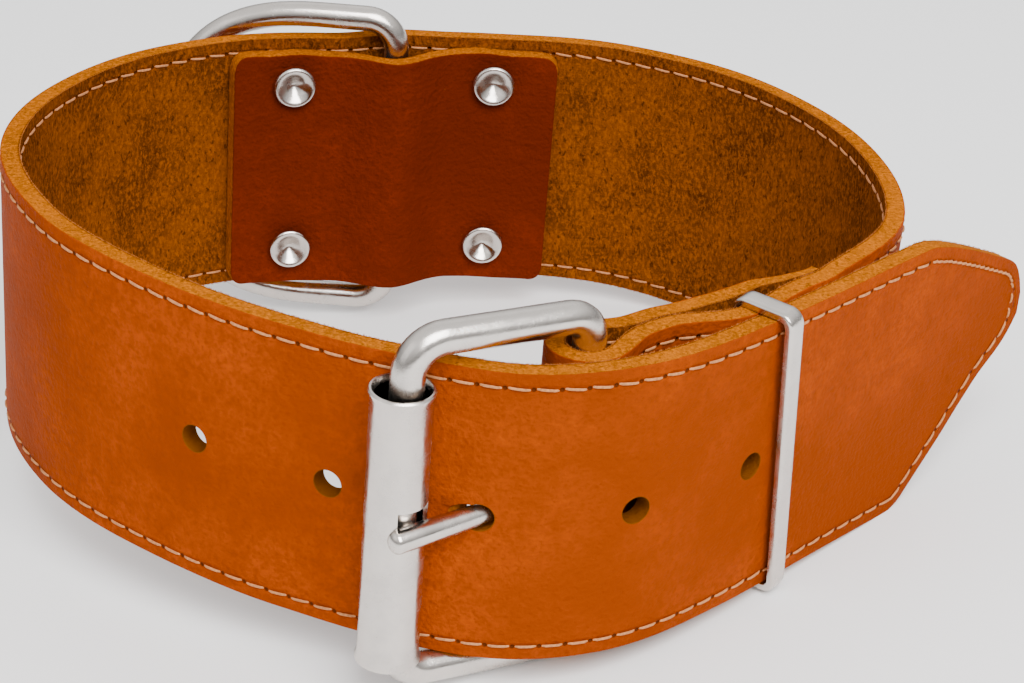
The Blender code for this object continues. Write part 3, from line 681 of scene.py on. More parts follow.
def leather_material(name, grain_color, suede_color, edge_color, seam):
    """Leather seen on its grain side, its raw side and its cut edges."""
    material, tree, shader, coordinates = start_material(name)
    flat = shader_node(tree, "ShaderNodeAttribute", attribute_name="flat").outputs["Vector"]
    depth = shader_node(tree, "ShaderNodeSeparateXYZ", {"Vector": flat}).outputs["Y"]
    grain = effect(tree, "grain", coordinates)
    fibres = effect(tree, "fibres", coordinates)
    ragged = noise(tree, coordinates, 1400.0, 4.0, 0.7)
    rough_depth = sum_of(tree, "MULTIPLY_ADD", ragged, 0.0006, depth)
    outside = span(tree, rough_depth, -HALF_STRAP + 0.00042, -HALF_STRAP + 0.00056, 1.0, 0.0)
    inside = span(tree, rough_depth, HALF_STRAP - 0.00005, HALF_STRAP + 0.00020)
    broad = noise(tree, coordinates, 26.0, 5.0, 0.6)
    dark_grain = shade(grain_color, 0.56)
    top = mixed(tree, span(tree, broad, 0.40, 0.62), grain_color, dark_grain)
    pale = shade(grain_color, 1.3, 0.004)
    top = mixed(tree, sum_of(tree, "MULTIPLY", grain.outputs["Scuffs"], 0.35), top, pale)
    dark_suede = shade(suede_color, 0.38)
    light_suede = shade(suede_color, 1.7)
    back = mixed(tree, fibres.outputs["Mottle"], dark_suede, suede_color)
    back = mixed(tree, sum_of(tree, "MULTIPLY", fibres.outputs["Fleck"], 0.80), back, light_suede)
    back = mixed(tree, fibres.outputs["Pits"], back, shade(suede_color, 0.28))
    dark_edge = shade(edge_color, 0.62)
    pale_edge = shade(edge_color, 1.6, 0.003)
    rim = mixed(tree, fibres.outputs["Mottle"], dark_edge, edge_color)
    rim = mixed(tree, sum_of(tree, "MULTIPLY", fibres.outputs["Fleck"], 0.75), rim, pale_edge)
    rim = mixed(tree, fibres.outputs["Pits"], rim, shade(edge_color, 0.42))
    # Painted shade: the grain's low spots are darkened towards the darker grain colour
    pore_shade = span(tree, grain.outputs["Height"], 0.70, 1.00, 0.85, 0.0)
    top = mixed(tree, pore_shade, top, dark_grain)
    clouds = noise(tree, coordinates, 95.0, 6.0, 0.65)
    top = mixed(tree, span(tree, clouds, 0.38, 0.62, 0.0, 0.50), top, dark_grain)
    fine = noise(tree, coordinates, 620.0, 4.0, 0.7)
    top = mixed(tree, span(tree, fine, 0.40, 0.62, 0.0, 0.55), top, dark_grain)
    spots = noise(tree, coordinates, 210.0, 2.0, 0.5)
    top = mixed(tree, span(tree, spots, 0.71, 0.76, 0.0, 0.35), top, shade(grain_color, 0.4))
    color = mixed(tree, outside, mixed(tree, inside, rim, back), top)
    height = sum_of(tree, "MULTIPLY", grain.outputs["Height"], 0.00036)
    raw = sum_of(tree, "MULTIPLY", fibres.outputs["Height"], 0.00034)
    either = shader_node(tree, "ShaderNodeMix", data_type="FLOAT")
    tree.links.new(outside, either.inputs[0])
    tree.links.new(raw, either.inputs[2])
    tree.links.new(height, either.inputs[3])
    total = either.outputs[0]
    if seam:
        # Painted shade: the walls of the punched holes are darkened
        color = mixed(tree, hole_wall_shade(tree, flat), color, shade(edge_color, 0.42))
        line = shader_node(tree, "ShaderNodeAttribute", attribute_name="seam").outputs["Vector"]
        parts = shader_node(tree, "ShaderNodeSeparateXYZ", {"Vector": line}).outputs
        off = sum_of(tree, "ABSOLUTE", sum_of(tree, "SUBTRACT", parts["Y"], seam["inset"]))
        groove = span(tree, off, 0.00012, 0.00060, 1.0, 0.0)
        turns = sum_of(tree, "FRACT", sum_of(tree, "DIVIDE", parts["X"], seam["pitch"]))
        away = sum_of(tree, "ABSOLUTE", sum_of(tree, "SUBTRACT", turns, 0.5))
        away = sum_of(tree, "MULTIPLY", away, -2.0)
        near = sum_of(tree, "ADD", away, 1.0)
        run = sum_of(tree, "MULTIPLY", near, seam["pitch"] / 2)
        pit = sum_of(tree, "MULTIPLY_ADD", run, run, sum_of(tree, "MULTIPLY", off, off))
        pit = sum_of(tree, "SQRT", pit)
        hole = span(tree, pit, 0.00014, 0.00036, 1.0, 0.0)
        # Painted shade: the needle holes are painted near black
        color = mixed(tree, sum_of(tree, "MULTIPLY", hole, 0.88), color, (0.03, 0.012, 0.004))
        # Painted shade: the seam's groove is darkened a little
        color = mixed(tree, sum_of(tree, "MULTIPLY", groove, 0.25), color, dark_grain)
        total = sum_of(tree, "MULTIPLY_ADD", groove, -0.00016, total)
        total = sum_of(tree, "MULTIPLY_ADD", hole, -0.0005, total)
    tree.links.new(color, shader.inputs["Base Color"])
    gloss = span(tree, grain.outputs["Height"], 0.6, 1.3, 0.50, 0.66)
    rough = shader_node(tree, "ShaderNodeMix", data_type="FLOAT")
    tree.links.new(outside, rough.inputs[0])
    rough.inputs[2].default_value = 0.92
    tree.links.new(gloss, rough.inputs[3])
    tree.links.new(rough.outputs[0], shader.inputs["Roughness"])
    set_bump(tree, shader, total)
    shader.inputs["Specular IOR Level"].default_value = 0.015
    return material


def metal_material(name, color, roughness):
    """Satin plated metal with faint marks, and painted shade where a piece marks faces as its bore."""
    material, tree, shader, coordinates = start_material(name)
    wear = effect(tree, "wear", coordinates)
    dull = shade(color, 0.80)
    tint = mixed(tree, sum_of(tree, "MULTIPLY", wear.outputs["Marks"], 0.5), color, dull)
    bore_shade = shader_node(tree, "ShaderNodeAttribute", attribute_name="bore_shade").outputs["Fac"]
    # Painted shade: faces marked as the roller's bore are painted near black
    tint = mixed(tree, bore_shade, tint, (0.012, 0.010, 0.009))
    tree.links.new(tint, shader.inputs["Base Color"])
    rough = span(tree, wear.outputs["Marks"], 0.0, 1.0, roughness - 0.07, roughness + 0.11)
    tree.links.new(rough, shader.inputs["Roughness"])
    shader.inputs["Metallic"].default_value = 1.0
    set_bump(tree, shader, sum_of(tree, "MULTIPLY", wear.outputs["Height"], 0.00002))
    return material


def thread_material(name, color):
    """Twisted thread or loose fibres."""
    material, tree, shader, coordinates = start_material(name)
    twist = noise(tree, coordinates, 2600.0, 3.0, 0.6)
    dark = shade(color, 0.6)
    tree.links.new(mixed(tree, span(tree, twist, 0.35, 0.65), dark, color), shader.inputs["Base Color"])
    set_bump(tree, shader, sum_of(tree, "MULTIPLY", twist, 0.0001))
    shader.inputs["Roughness"].default_value = 0.75
    return material


def clear_selection():
    """Deselect everything and leave edit mode."""
    if bpy.context.object and bpy.context.object.mode != "OBJECT":
        bpy.ops.object.mode_set(mode="OBJECT")
    bpy.ops.object.select_all(action="DESELECT")


def only(piece):
    """Select one piece and make it active."""
    clear_selection()
    piece.select_set(True)
    bpy.context.view_layer.objects.active = piece


def apply_all(piece):
    """Apply a piece's modifiers in order."""
    only(piece)
    for name in [step.name for step in piece.modifiers]:
        bpy.ops.object.modifier_apply(modifier=name)


def settle(piece, name, material, body, smooth=35.0):
    """Name a finished piece, give it its material and smoothing, and let it ride its body."""
    only(piece)
    bpy.ops.object.transform_apply(location=True, rotation=True, scale=True)
    piece.name = name
    piece.data.name = name
    piece.data.materials.clear()
    piece.data.materials.append(material)
    bpy.ops.object.shade_smooth_by_angle(angle=math.radians(smooth))
    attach(piece, body)
    return piece


def mesh_piece(name, verts, edges=(), faces=()):
    """New piece from its points, edges and faces."""
    clear_selection()
    bpy.ops.mesh.primitive_plane_add(size=0.001)
    piece = bpy.context.object
    mesh = bpy.data.meshes.new(name)
    mesh.from_pydata(verts, edges, faces)
    piece.data = mesh
    only(piece)
    return piece


def face_outwards():
    """Turn the active piece's faces outwards."""
    bpy.ops.object.mode_set(mode="EDIT")
    bpy.ops.mesh.select_all(action="SELECT")
    bpy.ops.mesh.normals_make_consistent(inside=False)
    bpy.ops.object.mode_set(mode="OBJECT")


def combine(piece, tool, operation):
    """Cut a tool out of a piece, or join it on, and clear the tool away."""
    step = piece.modifiers.new("combine", "BOOLEAN")
    step.object = tool
    step.operation = operation
    apply_all(piece)
    bpy.data.objects.remove(tool, do_unlink=True)


def flat_plate(name, length, rows, columns, low, high, thickness):
    """Flat leather plate laid out as distance, depth and height.

    low and high give the heights of its edges at a distance. It is made as a grid and thickened."""
    clear_selection()
    bpy.ops.mesh.primitive_grid_add(x_subdivisions=rows, y_subdivisions=columns, size=1.0)
    plate = bpy.context.object
    plate.name = name
    bpy.ops.object.mode_set(mode="EDIT")
    bpy.ops.mesh.select_all(action="SELECT")
    bpy.ops.transform.translate(value=(0.5, 0.5, 0.0))
    bpy.ops.object.mode_set(mode="OBJECT")
    for vert in plate.data.vertices:
        distance = vert.co.x * length
        bottom, top = low(distance), high(distance)
        vert.co = (distance, -thickness / 2, bottom + (top - bottom) * vert.co.y)
    wall = plate.modifiers.new("wall", "SOLIDIFY")
    wall.thickness = thickness
    wall.offset = -1.0
    wall.use_even_offset = False
    apply_all(plate)
    return plate


def ease_grain_edge(plate, size, segments):
    """Round the corners of the grain side, at depth below zero, with a bevel."""
    only(plate)
    mesh = plate.data
    edges = [0] * len(mesh.edges)
    faces_of = {}
    for face in mesh.polygons:
        for key in face.edge_keys:
            faces_of.setdefault(key, []).append(face)
    attribute = mesh.attributes.get("bevel_weight_edge")
    if attribute is None:
        attribute = mesh.attributes.new("bevel_weight_edge", "FLOAT", "EDGE")
    for i, edge in enumerate(mesh.edges):
        a, b = (mesh.vertices[k].co for k in edge.vertices)
        faces = faces_of.get(edge.key, ())
        sharp = len(faces) == 2 and faces[0].normal.dot(faces[1].normal) < 0.5
        edges[i] = 1.0 if sharp and a.y < 0 and b.y < 0 else 0.0
    attribute.data.foreach_set("value", edges)
    round_over = plate.modifiers.new("edge", "BEVEL")
    round_over.limit_method = "WEIGHT"
    round_over.width = size
    round_over.segments = segments
    apply_all(plate)


def punch(plate, distance, height, radius, lean=0.0):
    """Punch a hole through a flat plate with a round or slanted cutter."""
    clear_selection()
    bpy.ops.mesh.primitive_cylinder_add(
        vertices=PUNCH_SIDES, radius=radius, depth=6 * STRAP_THICKNESS, location=(distance, 0.0, height)
    )
    cutter = bpy.context.object
    cutter.rotation_euler = (math.pi / 2, 0.0, lean)
    bpy.ops.object.transform_apply(location=True, rotation=True, scale=True)
    combine(plate, cutter, "DIFFERENCE")


def mark_flat(plate, seams=()):
    """Keep each point's flat place, and its place beside the nearer seam, as attributes."""
    mesh = plate.data
    flat = mesh.attributes.new("flat", "FLOAT_VECTOR", "POINT")
    flat.data.foreach_set("vector", [c for vert in mesh.vertices for c in vert.co])
    if not seams:
        return
    beside = []
    for vert in mesh.vertices:
        nearer = min((seam.beside(vert.co.x, vert.co.z) for seam in seams), key=lambda row: row[1])
        beside += (*nearer, 0.0)
    seam_place = mesh.attributes.new("seam", "FLOAT_VECTOR", "POINT")
    seam_place.data.foreach_set("vector", beside)


class SeamSide:
    """Seam along the strap's upper (1) or lower (-1) edge, read by the length along it."""

    def __init__(self, side, inset):
        self.side = side
        self.inset = inset
        self.spots = [STRAP.total * i / SEAM_SPOTS for i in range(SEAM_SPOTS + 1)]
        heights = [tip_edge(x, side) for x in self.spots]
        self.lengths = [0.0]
        for i in range(SEAM_SPOTS):
            step = math.hypot(self.spots[i + 1] - self.spots[i], heights[i + 1] - heights[i])
            self.lengths.append(self.lengths[-1] + step)

    def slant(self, distance):
        """Direction of the edge at a distance along the strap."""
        near, far = max(distance - 0.0012, 0.0), min(distance + 0.0012, STRAP.total)
        rise = tip_edge(far, self.side) - tip_edge(near, self.side)
        return Vector((far - near, rise)).normalized()

    def inner(self, distance):
        """Direction from the edge into the strap."""
        along = self.slant(distance)
        return Vector((along.y, -along.x)) * self.side

    def length_at(self, distance):
        """Length along the edge at a distance along the strap."""
        share = min(max(distance / STRAP.total, 0.0), 1.0) * SEAM_SPOTS
        i = min(int(share), SEAM_SPOTS - 1)
        return self.lengths[i] + (self.lengths[i + 1] - self.lengths[i]) * (share - i)

    def seat(self, length):
        """Place of the seam, as distance and height, and its direction, at a length."""
        i = min(max(bisect.bisect_right(self.lengths, length) - 1, 0), SEAM_SPOTS - 1)
        share = (length - self.lengths[i]) / (self.lengths[i + 1] - self.lengths[i])
        distance = self.spots[i] + (self.spots[i + 1] - self.spots[i]) * share
        spot = Vector((distance, tip_edge(distance, self.side) + ripple(distance, self.side)))
        return spot + self.inner(distance) * self.inset, self.slant(distance)

    def beside(self, distance, height):
        """Length along the seam and distance from the edge of a point of the strap."""
        inner = self.inner(distance)
        edge = tip_edge(distance, self.side) + ripple(distance, self.side)
        gap = abs(edge - height) * abs(inner.y)
        return self.length_at(distance - inner.x * gap), gap


def stitch_blank(length, radius):
    """One stitch: a short thread that rises out of its hole, lies flat and dips again."""
    clear_selection()
    bpy.ops.mesh.primitive_cylinder_add(vertices=8, radius=1.0, depth=2.0)
    stitch = bpy.context.object
    bpy.ops.object.mode_set(mode="EDIT")
    bpy.ops.mesh.select_all(action="SELECT")
    bpy.ops.transform.rotate(value=math.pi / 2, orient_axis="Y", center_override=(0, 0, 0))
    for cut in (-0.85, -0.55, 0.0, 0.55, 0.85):
        bpy.ops.mesh.select_all(action="SELECT")
        bpy.ops.mesh.bisect(plane_co=(cut, 0, 0), plane_no=(1, 0, 0))
    bpy.ops.object.mode_set(mode="OBJECT")
    for vert in stitch.data.vertices:
        x = vert.co.x
        swell = 1.0 - 0.35 * abs(x) ** 3
        lift = 0.55 - 1.9 * abs(x) ** 5
        vert.co = (x * length / 2, vert.co.y * radius * swell, (vert.co.z * swell * 0.8 + lift) * radius)
    return stitch


def sew(name, seats, blank, place, material, body):
    """Copy one stitch to many seats; each seat is a function of a point of the stitch."""
    points = [vert.co.copy() for vert in blank.data.vertices]
    polygons = [tuple(face.vertices) for face in blank.data.polygons]
    verts, faces = [], []
    for seat in seats:
        start = len(verts)
        verts += [place(*seat(point)) for point in points]
        faces += [tuple(start + i for i in face) for face in polygons]
    bpy.data.objects.remove(blank, do_unlink=True)
    piece = mesh_piece(name, verts, faces=faces)
    face_outwards()
    return settle(piece, name, material, body, 60.0)


def wire_piece(name, points, radius, material, body, cyclic=True, radii=None):
    """Round wire along points, made with a bevelled curve."""
    clear_selection()
    bpy.ops.curve.primitive_nurbs_path_add()
    piece = bpy.context.object
    curve = piece.data
    curve.splines.clear()
    spline = curve.splines.new("POLY")
    spline.points.add(len(points) - 1)
    for i, point in enumerate(points):
        spline.points[i].co = (*(STANCE @ point), 1.0)
        spline.points[i].radius = 1.0 if radii is None else radii[i] / radius
    spline.use_cyclic_u = cyclic
    curve.dimensions = "3D"
    curve.twist_mode = "MINIMUM"
    curve.bevel_depth = radius
    curve.bevel_resolution = 8
    curve.use_fill_caps = True
    piece.location = (0, 0, 0)
    only(piece)
    bpy.ops.object.convert(target="MESH")
    return settle(bpy.context.object, name, material, body, 50.0)


def turned_piece(rows, place, axis, closed):
    """Shape turned about an axis from (radius, height) rows, with the spin tool."""
    edges = [(i, i + 1) for i in range(len(rows) - 1)]
    if closed:
        edges.append((len(rows) - 1, 0))
    piece = mesh_piece("profile", [(radius, 0.0, height) for radius, height in rows], edges)
    bpy.ops.object.mode_set(mode="EDIT")
    bpy.ops.mesh.select_all(action="SELECT")
    bpy.ops.mesh.spin(steps=TURNED_SIDES, angle=2 * math.pi, center=(0, 0, 0), axis=(0, 0, 1))
    bpy.ops.mesh.select_all(action="SELECT")
    bpy.ops.mesh.remove_doubles(threshold=1e-6)
    bpy.ops.mesh.normals_make_consistent(inside=False)
    bpy.ops.object.mode_set(mode="OBJECT")
    turn = Z_AXIS.rotation_difference(axis).to_matrix().to_4x4()
    piece.data.transform(STANCE @ Matrix.Translation(place) @ turn)
    return piece


def quarter(centre, start, end, count):
    """Points of a quarter turn between two spokes from a centre."""
    turns = [math.pi / 2 * i / count for i in range(count + 1)]
    return [centre + start * math.cos(t) + end * math.sin(t) for t in turns]


def rectangle_path(across, near, far, half_height, near_corner, far_corner):
    """Closed path round an upright rectangle, with its own corner on each side."""
    path = []
    for edge, corner, facing in ((near, near_corner, 1), (far, far_corner, -1)):
        for up in (-facing, facing):
            centre = across * (edge + corner * facing) + Z_AXIS * (up * (half_height - corner))
            turn = quarter(centre, across * (-corner * facing), Z_AXIS * (up * corner), QUARTER_STEPS)
            path += turn if up == facing else turn[::-1]
    return path


class LeatherSizes(bpy.types.PropertyGroup):
    """Leather, thread and their colours."""

    edge_round: FloatProperty(
        name="Edge rounding", description="Bevel of the grain side's edges",
        default=0.00055, min=0.0, max=0.001, unit="LENGTH", subtype="DISTANCE",
    )
    stitch_pitch: FloatProperty(
        name="Stitch pitch", description="Distance from one needle hole to the next",
        default=0.0036, min=0.002, max=0.006, unit="LENGTH", subtype="DISTANCE",
    )
    stitch_inset: FloatProperty(
        name="Stitch inset", description="Distance of the seam from the strap's edge",
        default=0.0022, min=0.001, max=0.005, unit="LENGTH", subtype="DISTANCE",
    )
    thread_radius: FloatProperty(
        name="Thread radius", description="Half the thickness of the thread",
        default=0.00022, min=0.0001, max=0.001, unit="LENGTH", subtype="DISTANCE",
    )
    fibres_per_metre: FloatProperty(
        name="Fibres per metre", description="Loose fibres on each cut edge",
        default=26000.0, min=0.0, max=40000.0,
    )
    fibre_length: FloatProperty(
        name="Fibre length", description="Length of the longest loose fibres",
        default=0.00045, min=0.0, max=0.003, unit="LENGTH", subtype="DISTANCE",
    )
    grain_color: FloatVectorProperty(
        name="Grain colour", description="Outer face of the strap",
        default=(0.39, 0.055, 0.0001), subtype="COLOR", min=0.0, max=1.0,
    )
    suede_color: FloatVectorProperty(
        name="Raw side colour", description="Inner face of the strap",
        default=(0.185, 0.0435, 0.0006), subtype="COLOR", min=0.0, max=1.0,
    )
    edge_color: FloatVectorProperty(
        name="Cut edge colour", description="Cut edges of the strap",
        default=(0.39, 0.103, 0.0003), subtype="COLOR", min=0.0, max=1.0,
    )
    patch_color: FloatVectorProperty(
        name="Patch colour", description="Grain of the patch",
        default=(0.175, 0.0165, 0.0003), subtype="COLOR", min=0.0, max=1.0,
    )
    patch_edge_color: FloatVectorProperty(
        name="Patch edge colour", description="Cut edges of the patch",
        default=(0.34, 0.085, 0.0006), subtype="COLOR", min=0.0, max=1.0,
    )
    thread_color: FloatVectorProperty(
        name="Thread colour", description="Stitching thread",
        default=(0.56, 0.21, 0.065), subtype="COLOR", min=0.0, max=1.0,
    )


class MetalSizes(bpy.types.PropertyGroup):
    """Metal fittings and their colour."""

    metal_color: FloatVectorProperty(
        name="Metal colour", description="Plating of the fittings",
        default=(0.63, 0.58, 0.535), subtype="COLOR", min=0.0, max=1.0,
    )
    roughness: FloatProperty(
        name="Satin", description="Roughness of the plating", default=0.23, min=0.0, max=1.0,
    )
    roller_rim: FloatProperty(
        name="Roller rim", description="Width of the roller's flared rims",
        default=0.0009, min=0.0, max=0.003, unit="LENGTH", subtype="DISTANCE",
    )


class StageSizes(bpy.types.PropertyGroup):
    """Floor, lights and camera."""

    key_power: FloatProperty(name="Key light", description="Power of the main light", default=19.0, min=0.0)
    fill_power: FloatProperty(name="Fill light", description="Power of the fill light", default=0.8, min=0.0)
    world_strength: FloatProperty(name="Sky", description="Strength of the white sky", default=1.3, min=0.0)
    lens: FloatProperty(name="Lens", description="Focal length in millimetres", default=88.8, min=10.0)
    floor_color: FloatVectorProperty(
        name="Floor colour", description="Pale floor", default=(0.94, 0.94, 0.94),
        subtype="COLOR", min=0.0, max=1.0,
    )


MATERIALS = {}


def finish(name):
    """A shared finish, made once from the sizes and colours in the panel."""
    if name in MATERIALS:
        return MATERIALS[name]
    leather = bpy.context.scene.collar_leather
    metal = bpy.context.scene.collar_metal
    if name == "strap":
        seam = {"pitch": leather.stitch_pitch, "inset": leather.stitch_inset}
        made = leather_material(
            "orange leather", leather.grain_color, leather.suede_color, leather.edge_color, seam
        )
    elif name == "patch":
        made = leather_material(
            "red brown leather", leather.patch_color, leather.suede_color, leather.patch_edge_color, None
        )
    elif name == "thread":
        made = thread_material("stitching thread", leather.thread_color)
    elif name == "fibre":
        made = thread_material("loose fibres", leather.edge_color)
    else:
        made = metal_material("satin nickel", metal.metal_color, metal.roughness)
    MATERIALS[name] = made
    return made


def strap_low(distance):
    """Height of the strap's lower edge."""
    return tip_edge(distance, -1) + ripple(distance, -1)


def strap_high(distance):
    """Height of the strap's upper edge."""
    return tip_edge(distance, 1) + ripple(distance, 1)


def strap_seams():
    """The two seams of the strap."""
    inset = bpy.context.scene.collar_leather.stitch_inset
    return SeamSide(1, inset), SeamSide(-1, inset)


def cut_box(piece, centre, size, matrix):
    """Cut a box out of a piece; centre and size are in the matrix's own frame."""
    clear_selection()
    bpy.ops.mesh.primitive_cube_add(size=1.0)
    box = bpy.context.object
    box.data.transform(matrix @ Matrix.Translation(centre) @ Matrix.Diagonal((*size, 1.0)))
    combine(piece, box, "DIFFERENCE")


class COLLAR_OT_strap(bpy.types.Operator):
    """Cut the strap flat, punch its holes and bend it into the buckled loop"""

    bl_idname = "collar.strap"
    bl_label = "Make Strap"

    def execute(self, context):
        sizes = context.scene.collar_leather
        rows = round(STRAP.total / GRID_STEP)
        strap = flat_plate("strap", STRAP.total, rows, 14, strap_low, strap_high, STRAP_THICKNESS)
        ease_grain_edge(strap, sizes.edge_round, 3)
        for number in range(-HOLES_EACH_SIDE, HOLES_EACH_SIDE + 1):
            punch(strap, CROSSING + number * HOLE_SPACING, 0.0, HOLE_DIAMETER / 2)
        _, along, inward = STRAP.at(CROSSING)
        lean = math.atan2(TONGUE_SIDE.dot(along), -TONGUE_SIDE.dot(inward))
        punch(strap, CROSSING, 0.0, TONGUE_WIRE / 2 + CLEARANCE / 2, lean=lean)
        slot = (SLOT_LENGTH, 4 * STRAP_THICKNESS, TONGUE_NECK + 2 * CLEARANCE)
        cut_box(strap, Vector((FOLD_DISTANCE, 0, 0)), slot, Matrix.Identity(4))
        mark_flat(strap, strap_seams())
        wrap(strap, strap_place)
        settle(strap, "leather_strap", finish("strap"), "collar", 50.0)
        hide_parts("strap")
        return {"FINISHED"}


class COLLAR_OT_stitching(bpy.types.Operator):
    """Sew both edges of the strap, on its grain side and on its raw side"""

    bl_idname = "collar.stitching"
    bl_label = "Make Stitching"

    def execute(self, context):
        sizes = context.scene.collar_leather
        pitch = sizes.stitch_pitch
        for face, name in ((-1, "outer_stitching"), (1, "inner_stitching")):
            seats = []
            for seam in strap_seams():
                tight_from = seam.length_at(STRAP.total - TIP_LENGTH + 0.004)
                length, number = pitch / 2, 0
                while length < seam.lengths[-1] - TIP_ROOM:
                    tight = seam.side > 0 and length > tight_from
                    share = TIGHT_SHARE if tight else 1.0
                    spot, along = seam.seat(length)
                    length += pitch * share
                    number += 1
                    if abs(spot.x - FOLD_DISTANCE) < FOLD_CLEAR:
                        continue
                    turn = 0.06 * math.sin(number * 12.9) + 0.05 * face * seam.side
                    along = Matrix.Rotation(turn + (TIGHT_LEAN if tight else 0.0), 2) @ along
                    across = Vector((-along.y, along.x))
                    seats.append(self.seat(spot, along * share, across, face))
            high, low = (seam.seat(seam.lengths[-1] - TIP_ROOM)[0] for seam in strap_seams())
            fall = low - high
            count = max(round(fall.length / (END_SHARE * pitch)), 1)
            for number in range(count):
                along = fall.normalized() * END_SHARE
                across = Vector((-along.y, along.x)).normalized()
                seats.append(self.seat(high + fall * (number + 0.5) / count, along, across, face))
            blank = stitch_blank(pitch * THREAD_SHARE, sizes.thread_radius)
            sewn = sew(name, seats, blank, strap_place, finish("thread"), "collar")
        return {"FINISHED"}

    @staticmethod
    def seat(spot, along, across, face):
        """Lays a point of the stitch on the flat strap."""

        def lay(point):
            flat = spot + along * point.x + across * point.y
            return flat.x, face * (HALF_STRAP + point.z), flat.y

        return lay


class COLLAR_OT_fibres(bpy.types.Operator):
    """Raise loose fibres along the cut edges of the strap"""

    bl_idname = "collar.fibres"
    bl_label = "Raise Edge Fibres"

    def execute(self, context):
        sizes = context.scene.collar_leather
        chance = random.Random(7)
        verts, faces = [], []
        for side, edge in ((1, strap_high), (-1, strap_low)):
            for _ in range(round(STRAP.total * sizes.fibres_per_metre)):
                distance = chance.uniform(0.0012, STRAP.total - 0.0004)
                corner = chance.random() < 0.62
                depth = HALF_STRAP - 0.00004 if corner else chance.uniform(-0.5, 0.98) * HALF_STRAP
                height = edge(distance) - side * 0.00005
                lean = Vector((chance.uniform(-2.4, 2.4), chance.uniform(-0.7, 0.7) + 0.6 * corner, side))
                reach = sizes.fibre_length * chance.uniform(0.4, 1.0) * (1.0 if corner else 0.55)
                root = Vector((distance, depth, height))
                self.spike(verts, faces, root, lean.normalized() * reach, chance.uniform(0.00003, 0.00006))
        fluff = mesh_piece("edge_fibres", verts, faces=faces)
        mark_flat(fluff)
        wrap(fluff, strap_place)
        settle(fluff, "edge_fibres", finish("fibre"), "collar")
        return {"FINISHED"}

    @staticmethod
    def spike(verts, faces, root, reach, radius):
        """One fibre: a thin three-sided spike."""
        start = len(verts)
        across = reach.cross(Vector((0.3, 1.0, 0.2))).normalized() * radius
        other = reach.cross(across).normalized() * radius
        verts += [root + across, root - across * 0.5 + other, root - across * 0.5 - other, root + reach]
        faces += [(start, start + 1, start + 3), (start + 1, start + 2, start + 3)]
        faces += [(start + 2, start, start + 3), (start, start + 2, start + 1)]


class COLLAR_OT_patch(bpy.types.Operator):
    """Cut the patch, round its corners, press it round the rivets and lay it over the bar"""

    bl_idname = "collar.patch"
    bl_label = "Make Patch"

    def execute(self, context):
        sizes = context.scene.collar_leather
        half_length, half_height = PATCH_LENGTH / 2, PATCH_HEIGHT / 2

        def edge(distance, side):
            past = PATCH_CORNER - min(half_length - abs(distance - half_length), PATCH_CORNER)
            drop = PATCH_CORNER - math.sqrt(max(PATCH_CORNER ** 2 - past ** 2, 0.0))
            wave = 0.00022 * math.sin(distance * 180.0) + 0.00010 * math.sin(distance * 610.0)
            return side * (half_height - drop) + (wave if side > 0 else 0.4 * wave)

        patch = flat_plate(
            "patch", PATCH_LENGTH, 150, 60, lambda d: edge(d, -1), lambda d: edge(d, 1), PATCH_THICKNESS
        )
        for vert in patch.data.vertices:
            vert.co.x -= half_length
        ease_grain_edge(patch, sizes.edge_round, 3)
        for across in (-RIVET_SPAN / 2, RIVET_SPAN / 2):
            for up in (-RIVET_RISE / 2, RIVET_RISE / 2):
                punch(patch, across, PATCH_DROP + up, RIVET_SHANK / 2 + 0.00005)
        mark_flat(patch)
        for vert in patch.data.vertices:
            if vert.co.y < 0:
                vert.co.y += self.pressed(vert.co.x, vert.co.z)
        wrap(patch, patch_place)
        settle(patch, "leather_patch", finish("patch"), "collar", 50.0)
        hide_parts("patch")
        return {"FINISHED"}

    @staticmethod
    def pressed(distance, height):
        """How deep the rivets press the patch at a place."""
        depth = 0.0
        for x in (-RIVET_SPAN / 2, RIVET_SPAN / 2):
            for z in (-RIVET_RISE / 2, RIVET_RISE / 2):
                away = math.hypot(distance - x, height - PATCH_DROP - z)
                depth += PRESS_DEPTH * math.exp(-(away / (0.75 * RIVET_HEAD)) ** 4)
                depth -= PRESS_SWELL * math.exp(-((away - 0.95 * RIVET_HEAD) / (0.3 * RIVET_HEAD)) ** 2)
        return depth


class COLLAR_OT_rivets(bpy.types.Operator):
    """Turn the four tubular rivets, domed outside and countersunk inside"""

    bl_idname = "collar.rivets"
    bl_label = "Make Rivets"

    def execute(self, context):
        outside = -HALF_STRAP - LAYER_GAP
        inside = HALF_STRAP + 2 * LAYER_GAP + PATCH_THICKNESS
        head, shank, recess = RIVET_HEAD / 2, RIVET_SHANK / 2, RIVET_RECESS / 2
        height = RIVET_HEAD_HEIGHT
        rows = [(head * math.sin(t), outside - height * math.cos(t)) for t in self.quarter_turn()]
        rows += [(head, outside), (shank, outside), (shank, inside)]
        for t in self.quarter_turn():
            rise = 0.4 * height + 0.6 * height * math.sin(t)
            rows.append((head - RIVET_LIP + RIVET_LIP * math.cos(t), inside + rise))
        rows += [(recess + 0.0003, inside + 0.97 * height), (recess, inside + 0.80 * height)]
        floor = inside + height - RIVET_RECESS_DEPTH
        rows += [(0.66 * recess, inside + 0.15 * height), (0.60 * recess, inside - 0.02 * height)]
        rows += [(0.16 * recess, floor + 0.00008), (0.07 * recess, floor), (0.0, floor)]
        for number, (place, inward) in enumerate(rivet_seats(), 1):
            rivet = turned_piece(rows, place, inward, closed=False)
            settle(rivet, f"tubular_rivet_{number}", finish("metal"), "collar")
            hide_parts(f"rivet_{number}")
        return {"FINISHED"}

    @staticmethod
    def quarter_turn():
        """Angles of a quarter turn."""
        return [math.pi / 2 * i / 6 for i in range(7)]


